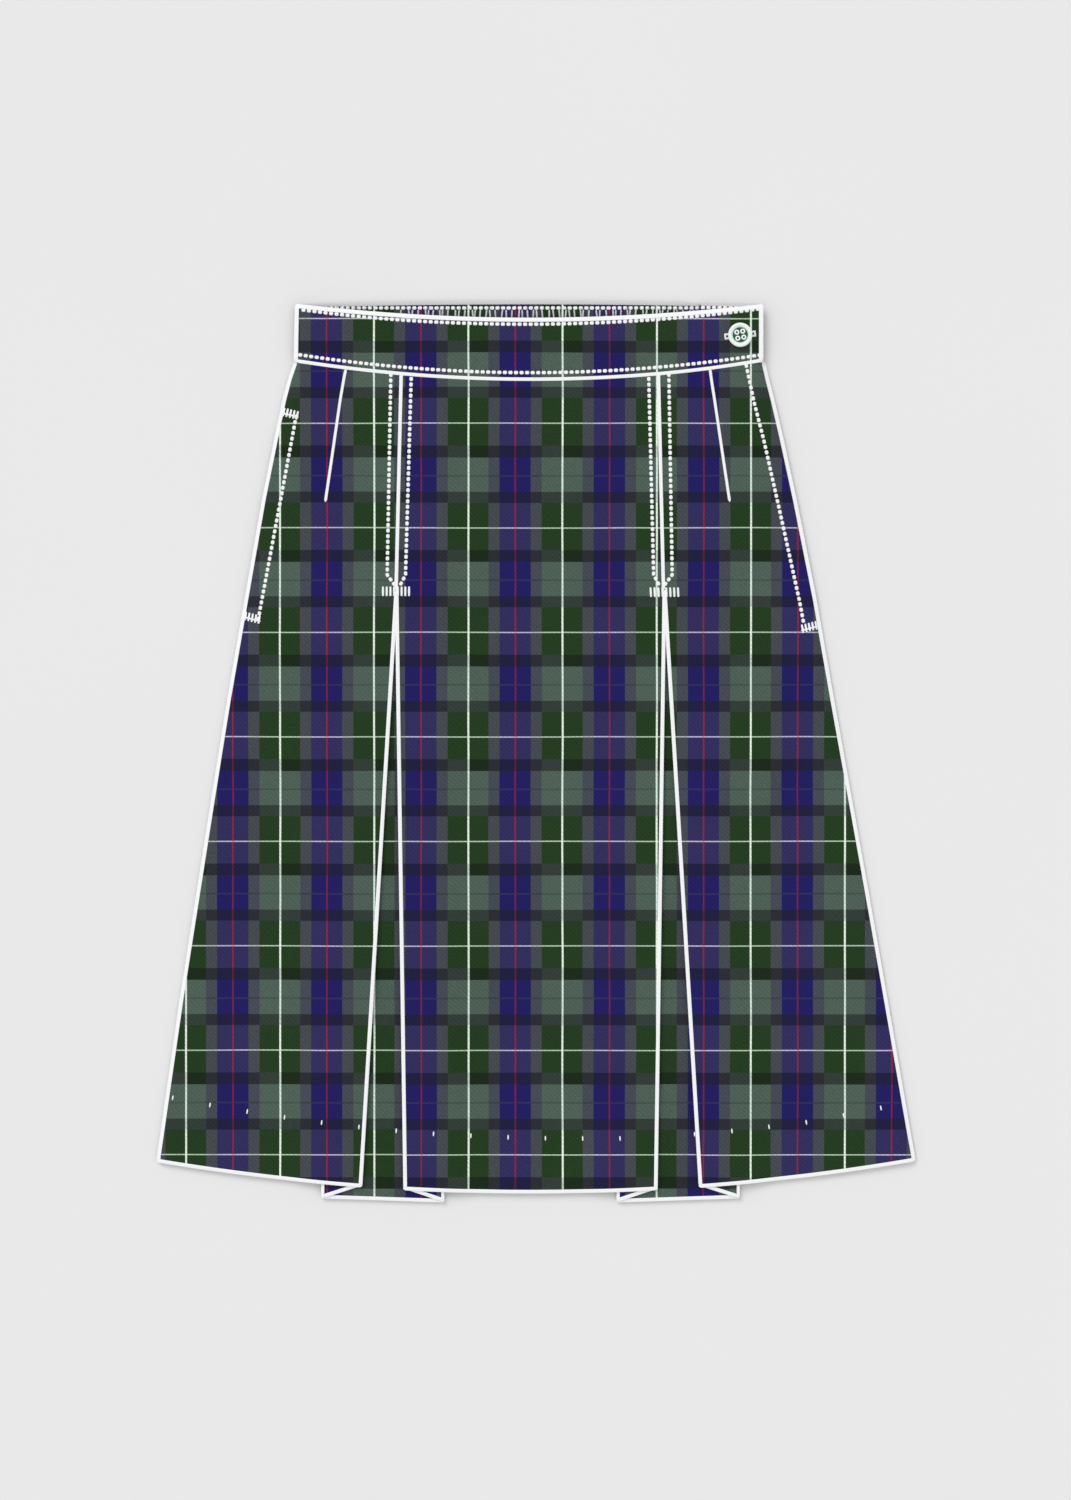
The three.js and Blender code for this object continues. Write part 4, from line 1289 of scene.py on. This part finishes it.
def tubes(x, drop, lies_on, width, up, down, taper=0.6):
    """Points, quads and UV of closed tubes on paths given as (tube, point) arrays in mm. A ring's point at an
    angle is width / 2 * cos(angle) aside of the path, and up or down * sin(angle) above or below what the
    thread lies on there: heights along the path, or the function of a face, over which it is draped. Both
    ends get slimmer over the taper."""
    x, drop = (np.atleast_2d(array) for array in np.broadcast_arrays(x, drop))
    along_x, along_y = np.gradient(x, axis=1), -np.gradient(drop, axis=1)
    size = np.hypot(along_x, along_y)
    walked = walk(x, drop)
    slim = rounded(walked / walked[:, -1:], walked[:, -1:], over=taper)[..., None]
    aside = width / 2 * slim * np.sign(np.cos(RING)) * np.abs(np.cos(RING)) ** FLATTENED
    ring_x = x[..., None] - aside * (along_y / size)[..., None]
    ring_drop = drop[..., None] - aside * (along_x / size)[..., None]
    under = lies_on(ring_x, ring_drop) if callable(lies_on) else np.broadcast_to(lies_on, x.shape)[..., None]
    height = slim * np.where(np.sin(RING) > 0, up, down) * np.sin(RING)
    points = placed(ring_x, ring_drop, under + height)
    number = np.arange(points[..., 0].size).reshape(points.shape[:3])
    quads = np.concatenate([ring_quads(number), number[:, 0][:, CAP[:, ::-1]].reshape(-1, 4),
                            number[:, -1][:, CAP].reshape(-1, 4)])
    turn = np.broadcast_to(np.arange(AROUND) / AROUND, number.shape).ravel()[quads]
    turn = turn + (turn < turn.max(axis=1, keepdims=True) - 0.5)  # the last side ends where the first begins
    return points.reshape(-1, 3), quads, np.stack([np.repeat(walked.ravel(), AROUND)[quads], turn], axis=-1)


def sew(name, groups, thread=white_thread):
    """One piece of thread from several groups of tubes."""
    first = np.cumsum([0] + [len(points) for points, _, _ in groups[:-1]])
    make_piece(name, np.concatenate([points for points, _, _ in groups]),
               np.concatenate([quads + start for (_, quads, _), start in zip(groups, first)]), thread,
               per_corner_uv=np.concatenate([uv for _, _, uv in groups]))


# %% [markdown]
# A path is a line of (x, drop) points. Cords step along it evenly, and dashes are cut from it at their
# pitch. Thread lies on whatever is under it, so the faces of the front and of both bands are functions too.

# %% Paths, and the faces that thread lies on
STEP = 1.6  # mm between two rings of a cord
CORD_SAG = 0.5


def path(x, drop, step=STEP):
    """The line through these points in even steps."""
    x, drop = np.broadcast_arrays(np.asarray(x, dtype=float), np.asarray(drop, dtype=float))
    walked = walk(x, drop)
    at = np.linspace(0, walked[-1], int(np.ceil(walked[-1] / step)) + 1)
    return np.interp(at, walked, x), np.interp(at, walked, drop)


def dashes(line, pitch, length, count=7):
    """Stitches of a length, each of count points, one every pitch back from the end of the line."""
    x, drop = line
    walked = walk(x, drop)
    middle = np.arange(walked[-1] - length / 2, length / 2, -pitch)
    at = middle[:, None] + length * np.linspace(-0.5, 0.5, count)
    return np.interp(at, walked, x), np.interp(at, walked, drop)


def front_face(x, drop):
    """Height of the front's upper face, also where it bends down to a side seam."""
    beyond = share(0, FRONT_CURL + CLOTH / 2, np.abs(x) - bend_from(x, drop))
    seam = SIDE_SEAM_Z + GAP / 2 + np.where(x < 0, mouth("left", drop), mouth("right", drop))
    return seam + (front_lying(x, drop) + CLOTH / 2 - seam) * quarter_round(beyond)


def band_level(x):
    """Middle height of the front band, level and then bent down to its side seam."""
    beyond = share(BAND_HALF["left"] - BAND / 2 - BAND_CURL, BAND_HALF["left"], -x)
    seam = BAND_SEAM_Z + GAP / 2
    return seam + (BAND_MIDDLE - seam) * quarter_round(beyond)


def band_face(x, drop):
    return band_level(x) + BAND / 2 * plumpness(share(band_top(x), waist_seam(x) - BAND_CLEAR, drop))


def corded_top(x):
    """The line of the front band's top cord, which sags a hair more than the band's own edge."""
    return band_top(x) + CORD_SAG * (1 - (x / BAND_HALF["left"]) ** 2)


def back_band_face(x, drop):
    level = BACK_BAND + gather_height(x, share(back_top(x), BACK_SEAM, drop))
    return np.where(x < UNDERLAP["end"], level, UNDERLAP["middle"] + BACK_BAND / 2)


print("front's face beside the tack, mm:", float(front_face(80, 200)))

# %% [markdown]
# ## Corded edges
#
# Every edge of the front is bound with a thick white cord, whipped on so closely that it reads as one line:
# the waist seam, the band's edges, the pleats' folds, the darts, the side edges and all hems. A cord sits
# astride its edge, part on the cloth and part beyond it, so its path is the edge, moved a little way to
# where the cord is drawn. How far it stands above and below that path depends on how hard its edge was
# pressed. On a bend it comes down with the cloth.

# %% Cords along the edges
CORD, DART_CORD, PLEAT_CORD, SEAM_CORD = 2.85, 2.05, 2.5, 2.6  # widths
# How far each cord stands above and below its path.
CORD_RISE = {"pressed": (0.6, 0.5), "seam": (0.6, 0.6), "side": (0.8, 0.8), "fold": (1.1, 0.9),
             "hem": (1.15, 1.15), "hidden": (1, 1)}
# How far it is whipped to one side of its edge, and beyond it: (distance along the skirt, distance beyond).
BESIDE_PLEAT = {"left": -0.25, "right": -0.7}
EDGE_CORD = {"left": ([40, 591], [0.25, 0.25]), "right": ([40, 90, 400, 480, 570], [0.6, 1.05, 1.05, 0.8, 0.2])}
HEM_CORD = {"left": ([120, 260], [0.67, 0.67]), "right": ([120, 200], [0.97, 1.22]), "centre": 0.67}
SEAM_LINE = {"below": 0.2, "climb": 0.75, "from": 90, "to": 160, "lift": 0.75}  # the waist seam's cord
FOLD_LIFT, RETURN_LIFT, HEM_FALL = 0.1, -0.2, 0.9  # heights to which cords are lifted, or fall at the side seam
SQUARE = 1.4  # how far a cord runs on past a corner, so that two cords meet in a square one
BEYOND_FOOT = 0.5  # how far below an underlay's hem its cord is
FEET = (UNDERLAY_HEM["inner"], UNDERLAY_HEM["outer"])
FAR_DOWN = 620.0  # a drop below every hem, where the pleats' lines are at their widest


def cord(x, drop, lies_on, rise, width=CORD):
    return tubes(x, drop, lies_on, width, *CORD_RISE[rise], taper=0.2)


def down_line(line, top, foot, count=200):
    """A path down the skirt whose x is a function of the drop."""
    drop = np.linspace(top, foot, count)
    return path(line(drop), drop)


def pleat_cords(side):
    """The cords of one pleat: along its closed line, its two open folds, and the slanting hems behind them."""
    sign = OUTWARD[side]
    x, drop = down_line(pleat_line, float(waist_seam(PLEAT["waist"])), PLEAT["tack_drop"])
    cords = [cord(sign * x + BESIDE_PLEAT[side], drop, front_face, "pressed", PLEAT_CORD)]
    for fold in (centre_fold, side_fold):
        x, drop = down_line(fold, PLEAT["tack_drop"], float(hem(fold(HEM["centre"]))) + SQUARE)
        cords.append(cord(sign * x, drop, over_pleat(drop) + FOLD_LIFT, "fold"))
    seams = [float(centre_return(FAR_DOWN)), float(side_return(FAR_DOWN))]
    ends = (FEET[0] - GAP, FEET[1])
    for fold_x, seam_x, foot in zip((PLEAT["centre_hem"], PLEAT["side_hem"]), seams, ends):
        x, drop = path([fold_x, seam_x], [hem(fold_x), foot])
        cords.append(cord(sign * x, drop, return_middle(drop), "hidden"))
        x, drop = path([seam_x, seam_x], [hem(seam_x) - 2, foot + SQUARE])
        cords.append(cord(sign * x, drop, return_middle(drop) + RETURN_LIFT, "hidden"))
    x, drop = path([seams[0] - SQUARE, seams[1] + SQUARE], [foot + BEYOND_FOOT for foot in FEET])
    cords.append(cord(sign * x, drop, underlay_middle(drop), "hidden"))
    return cords


def side_cords(side):
    """The cords of one side panel: along its dart, its side edge and its hem, which bends down at its end."""
    sign = OUTWARD[side]
    x, drop = down_line(lambda d: dart_line(sign, d), float(waist_seam(DART["at"])), DART["point"])
    cords = [cord(sign * x, drop, front_face, "pressed", DART_CORD)]
    corner = float(side_edge(sign, hem(HEM["at"])))
    x, drop = down_line(lambda d: side_edge(sign, d) + np.interp(d, *EDGE_CORD[side]),
                        WAIST_SEAM["side"], float(hem(corner)) + SQUARE)
    cords.append(cord(sign * x, drop, front_face, "side"))
    x, _ = path(np.linspace(PLEAT["side_hem"] - SQUARE, corner + SQUARE, 90), 0)
    fall = HEM_FALL * (1 - quarter_round(share(corner - FRONT_CURL, corner, x)))
    cords.append(cord(sign * x, hem(x) + np.interp(x, *HEM_CORD[side]),
                      front_middle(sign * x, hem(x)) - fall, "hem"))
    return cords


cords = [made for side in OUTWARD for made in pleat_cords(side) + side_cords(side)]
x, _ = path([-PLEAT["centre_hem"] - SQUARE, PLEAT["centre_hem"] + SQUARE], 0)
cords.append(cord(x, hem(x) + HEM_CORD["centre"], front_middle(x, hem(x)), "hem"))
x, _ = path([-161.5, 160], 0)
climb = SEAM_LINE["climb"] * share(SEAM_LINE["from"], SEAM_LINE["to"], x) ** 2  # towards the free end
seam_drop = waist_seam(x) + SEAM_LINE["below"] - climb
cords.append(cord(x, seam_drop, band_level(x) + SEAM_LINE["lift"], "seam", SEAM_CORD))
sew("thread_edge_cords", cords)

# %% [markdown]
# The bands' edges come next. The front band's cord is the widest one, along its top and both its ends. The
# back band's edge is overlocked, in thread coloured pale grey as painted shade: that cord lies on the
# gathers, lower where the band is plain, and it goes round with the band at the free end, so that the
# underlap has it as well.

# %% Cords on both waistbands
BAND_CORD, BAND_RISE = (3.1, 3.2), (0.7, 1)  # widths on the top and on the ends, and above and below the path
BAND_ENDS = ((-161.2, -162), (159.1, 159.1))  # x of each end's cord, at its top and at its foot
ABOVE_LINE = 0.05
# the back band's overlock cord, whose thread is coloured grey as painted shade
OVERLOCK_CORD = {"width": 2.8, "up": 1.2, "down": 1, "above_edge": 0.3, "from": -160.5, "to": 158.2,
             "on_gathers": 2.1, "on_plain": 1.2, "on_underlap": 0.5}

x, _ = path([-BAND_HALF["left"], BAND_HALF["right"] + 0.5], 0)
cords = [tubes(x, corded_top(x) - ABOVE_LINE, band_face, BAND_CORD[0], *BAND_RISE, taper=0.2)]
for top_x, foot_x in BAND_ENDS:
    x, drop = path([top_x, foot_x], [BAND_TOP["side"] - SQUARE, WAIST_SEAM["side"] + SQUARE])
    cords.append(tubes(x, drop, band_face, BAND_CORD[1], *BAND_RISE, taper=0.2))
sew("thread_band_cords", cords)


def overlock_cord_height(x):
    """Height of the overlock cord, in thread with painted shade, on the lower layer: over the gathers, the
    plain part and the side bend.
    """
    beyond = share(BAND_HALF["left"] - BACK_BAND / 2 - BAND_CURL, BAND_HALF["left"], -x)
    rise = (BAND_SEAM_Z - BACK_BAND / 2) * (1 - quarter_round(beyond))
    plain = ease(GATHERS["to"] - 8, GATHERS["to"], x)
    return rise + mix(OVERLOCK_CORD["on_gathers"], OVERLOCK_CORD["on_plain"], plain)


def overlock_cord(start, height):
    """The overlock cord, with painted shade, from x = start to the free end's fold, at a height."""
    x, _ = path([start, OVERLOCK_CORD["to"]], 0)
    return tubes(x, back_top(x) - OVERLOCK_CORD["above_edge"], height(x), OVERLOCK_CORD["width"], OVERLOCK_CORD["up"],
                 OVERLOCK_CORD["down"])


upper_layer = UNDERLAP["middle"] + OVERLOCK_CORD["on_underlap"]
sew("thread_back_band_edge", [overlock_cord(OVERLOCK_CORD["from"], overlock_cord_height),
                              overlock_cord(UNDERLAP["end"], lambda x: upper_layer)], painted_shade_thread)

# %% [markdown]
# ## Topstitching
#
# Topstitching is decoration and strength at once: long, even stitches in thick thread. Two rows run on the
# front band, one above its seam and one below its top edge, and one runs on the back band.

# %% Rows of stitches
STITCH = {"pitch": 3.833, "length": 2.9, "width": 2.4, "up": 0.55, "down": 0.4}
# The upper row on the front band: x, and how far it is below the cord there.
TOP_ROW = ([-155, -118, -76, 0, 62, 117, 155], [2.3, 2.9, 3.1, 3.05, 2.75, 2.3, 1.7])
BACK_ROW = 3.45  # drop of the back band's row


def stitched(line, face):
    x, drop = dashes(line, STITCH["pitch"], STITCH["length"])
    return tubes(x, drop, face, STITCH["width"], STITCH["up"], STITCH["down"])


across, below = np.linspace(-160.5, 159.5, 240), np.linspace(-160.5, 158.3, 240)
rows = [
    stitched(path(across, waist_seam(across) - ROW_ABOVE_SEAM, 1), band_face),
    stitched(path(below, corded_top(below) + np.interp(below, *TOP_ROW), 1), band_face),
    stitched(path([-145, 155], [BACK_ROW, BACK_ROW], 1), back_band_face),
]
sew("thread_band_topstitching", rows)

# %% [markdown]
# ## Rows beside the pleats and the pockets
#
# Two rows stand beside each pleat, where they end in a V of stitches that points at the bar tack. One more
# row runs down beside each pocket's mouth.

# %% Rows beside the pleats and the pockets
ROW_START = 0.15  # how far under the waist seam the rows beside the pleats start
V_POINTS = [(-93.4, 195.4), (-90, 195.2), (88.9, 195.2), (92.2, 195.3)]  # where each row's V ends
rows = []
for ends, tip in zip(PLEAT_ROWS, V_POINTS):
    top = float(waist_seam(ends[0])) + ROW_START
    line = path([row_x(ends, top), row_x(ends, ROW_END), tip[0]], [top, ROW_END, tip[1]], 0.5)
    rows.append(stitched(line, front_face))
for row, drops in POCKET_ROWS.values():
    rows.append(stitched(path(row, drops, 1), front_face))
sew("thread_front_topstitching", rows)

# %% [markdown]
# ## Bar tacks
#
# A bar tack is a block of close stitches where a seam would otherwise tear: under each pleat's stitched
# part and at a pocket's ends. Each stitch is a short tube whose points stand close together at its ends,
# which keeps them blunt. The ones at a pocket lie across the side edge's bend, and one more stitch crosses
# them.

# %% Bar tacks
BAR = {"width": 1.6, "height": 6.7, "up": 0.9, "down": 0.4}
EDGE_TACK = {"pitch": 2.46, "height": 5.9, "slope": 0.25, "count": 5, "cross_width": 1.2, "up": 0.8,
             "down": 0.5}
# For each pleat's tack: x of the first stitch, the pitch, the drop of the middle, and the lean.
PLEAT_TACKS = [(-101.8, 2.57, 199.3, 0.0), (83.0, 2.7, 199.9, 0.05)]
POCKET_TACKS = [("left", 75.2), ("left", 216), ("right", 222.4)]  # side, and drop of the middle
BLUNT = np.array([-0.5, -0.46, 0, 0.46, 0.5])  # shares of a short stitch at which it has its points


def upright_bars(x, drop, height, lean=0.0):
    """Upright stitches at these places, each leaning a little."""
    return np.asarray(x)[:, None] + lean * height * BLUNT, drop + height * BLUNT


def edge_tack(side, middle):
    """Stitches that run along a side edge, side by side inwards from it, and one that crosses them all, on
    points enough to follow the bend under it."""
    sign, pitch, count, slope = OUTWARD[side], *(EDGE_TACK[key] for key in ("pitch", "count", "slope"))
    inward = pitch * (np.arange(count)[:, None] + 0.5)
    drop = middle + EDGE_TACK["height"] * BLUNT + slope * inward
    across = pitch * count * np.concatenate([[0], np.linspace(0.04, 0.96, 12), [1]])
    cross_drop = middle + 1 + slope * across
    ways = ((side_edge(sign, drop) - inward, drop, BAR["width"]),
            (side_edge(sign, cross_drop) - across, cross_drop, EDGE_TACK["cross_width"]))
    return [tubes(sign * x, down, front_face, width, EDGE_TACK["up"], EDGE_TACK["down"])
            for x, down, width in ways]


bars = []
for first, pitch, middle, lean in PLEAT_TACKS:
    x, drop = upright_bars(first + pitch * np.arange(8), middle, BAR["height"], lean)
    bars.append(tubes(x, drop, front_face, BAR["width"], BAR["up"], BAR["down"]))
for side, middle in POCKET_TACKS:
    bars += edge_tack(side, middle)
sew("thread_bar_tacks", bars)

# %% [markdown]
# ## The buttonhole's stitches
#
# A buttonhole's two edges are covered with satin stitch, stitches laid so close that no cloth shows between
# them, and both its ends with a bar, so that the slit can't tear further. All are short tubes across the
# slit, turned to its slope. Beside the button only the ends show.

# %% Buttonhole
SATIN = {"width": 4.4, "length": 21.8, "stitch": 0.55, "bar": 1.1, "overlap": 1.15, "up": 0.35, "down": 0.3}
FROM_SLIT = 0.2  # cloth left between the slit and the stitches


def satin(u, low, high):
    """Stitches across the slit at distances u along it, from low to high beside it, turned like the slit."""
    v = mix(low, high, BLUNT + 0.5)
    grid = np.stack(np.broadcast_arrays(u[:, None], v), axis=-1).reshape(-1, 2)
    x, drop = turned(grid, BUTTON_SLOPE).T.reshape(2, len(u), -1)
    return tubes(x, drop, band_face, SATIN["stitch"] * SATIN["overlap"], SATIN["up"], SATIN["down"])


beside, half = BUTTONHOLE["width"] / 2 + FROM_SLIT, SATIN["width"] / 2
reach = SATIN["length"] / 2 - SATIN["bar"]
u = np.arange(-reach, reach, SATIN["stitch"])
bar_u = reach + SATIN["stitch"] * (np.arange(2) + 0.5)
sew("thread_buttonhole",
    [satin(u, beside, half), satin(u, -half, -beside), satin(bar_u, -half, half), satin(-bar_u, -half, half)])

# %% [markdown]
# ## Hem ticks
#
# A blind hem is caught from inside, and each catch shows on the right side as one short tick, which follows
# the flare of the cloth.

# %% Hem ticks
TICK = {"pitch": 25.74, "count": 20, "from": -247.1, "length": 3.2, "width": 1.1, "lean": 0.2,
        "up": 0.4, "down": 0.3}
tick_x = TICK["from"] + TICK["pitch"] * np.arange(TICK["count"])
lean = TICK["lean"] * tick_x[:, None] / abs(TICK["from"])
x, drop = upright_bars(tick_x, hem_line(tick_x)[:, None], TICK["length"], lean)
sew("thread_hem_ticks", [tubes(x, drop, front_face, TICK["width"], TICK["up"], TICK["down"])])

# %% [markdown]
# ## Gathering stitches
#
# Inside the waist, upright stitches hold the gathers to the elastic, in thread coloured pale grey as painted
# shade. Nobody spaces those evenly by hand, so two sines vary their pitch, and a third their lean.

# %% Gathering stitches
STROKE = {"from": -93, "reach": 210, "pitch": 3.6, "top": 4.6, "above_band": 0.4, "lean": 0.12, "width": 1.2,
          "up": 0.4, "down": 0.3}
number = np.arange(60)
wander = np.cumsum(STROKE["pitch"] + 1.5 * np.sin(number * 2.1) + 0.4 * np.sin(number * 0.7))
stroke_x = STROKE["from"] + wander[wander < STROKE["reach"]][:, None]
drop = mix(STROKE["top"], band_top(stroke_x) - STROKE["above_band"], np.linspace(0, 1, 9))
x = stroke_x + STROKE["lean"] * np.sin(stroke_x * 1.7) * (drop - 5)
strokes = tubes(x, drop, back_band_face, STROKE["width"], STROKE["up"], STROKE["down"])
sew("thread_gathers", [strokes], painted_shade_thread)

# %% [markdown]
# ## The table
#
# The skirt lies on a wide, pale, matt table. Matt laminate has hardly any highlight, so it takes the
# cloth's shadows and shows nothing else. It is a stage and no piece of the skirt, and it lies a hair under
# the cloth.

# %% Table
TABLE_HALF = 6.0  # metres, far beyond every view's edge
BELOW = -0.0001  # metres, so that the table and the cloth never share a plane


def matt_table():
    """Pale matt laminate: almost white, with a clouding too faint to notice but for its softness."""
    material, tree, shader = new_material("pale_matt_laminate", Roughness=0.9, Specular_IOR_Level=0.1)
    colour, _ = uneven_dye(tree, place_on(tree), 3, 2, "#E8E8E8", "#EAEAEA")
    tree.links.new(colour, shader.inputs["Base Color"])
    return material


mesh = bpy.data.meshes.new("floor")
corners = [(x * TABLE_HALF, y * TABLE_HALF, BELOW) for x, y in ((-1, -1), (1, -1), (1, 1), (-1, 1))]
mesh.from_pydata(corners, [], [(0, 1, 2, 3)])
mesh.materials.append(matt_table())
in_scene("floor", mesh)
print("table:", TABLE_HALF * 2, "m wide")

# %% [markdown]
# ## Light and camera
#
# The light is an even white sky with one broad, soft sun. A broad sun keeps the shadows short and soft, so
# that they only say how high the cloth lies. The camera looks straight down through a long lens, as for a
# catalogue, which keeps the outline true.

# %% Light and camera
SKY, SUN_STRENGTH, SUN_WIDTH = 0.78, 1.0, 30  # radiance, watts a square metre, degrees
SUN_TURN = [-38, -28, 0]  # degrees: it shines from beyond the waistband, on the wearer's right
world = bpy.data.worlds.new("studio")
world.use_nodes = True
sky = world.node_tree.nodes["Background"].inputs
sky["Color"].default_value, sky["Strength"].default_value = (1, 1, 1, 1), SKY
bpy.context.scene.world = world

sun_data = bpy.data.lights.new("soft_sun", "SUN")
sun_data.energy, sun_data.angle = SUN_STRENGTH, np.radians(SUN_WIDTH)
in_scene("soft_sun", sun_data).rotation_euler = np.radians(SUN_TURN)

# The centre of the view, the width seen at the height of focus, all in metres, and the lens and film in mm.
VIEW = {"centre": (-0.0004, 0.0010), "width": 1.035, "focus": 0.006, "lens": 100, "film": 36}
camera_data = bpy.data.cameras.new("camera")
camera_data.lens, camera_data.sensor_width = VIEW["lens"], VIEW["film"]
camera = in_scene("camera", camera_data)
distance = VIEW["width"] * VIEW["lens"] / VIEW["film"] + VIEW["focus"]
camera.location = (*VIEW["centre"], distance)
bpy.context.scene.camera = camera
bpy.context.scene.view_settings.view_transform = "Standard"
print(f"camera {distance:.2f} m above the table")
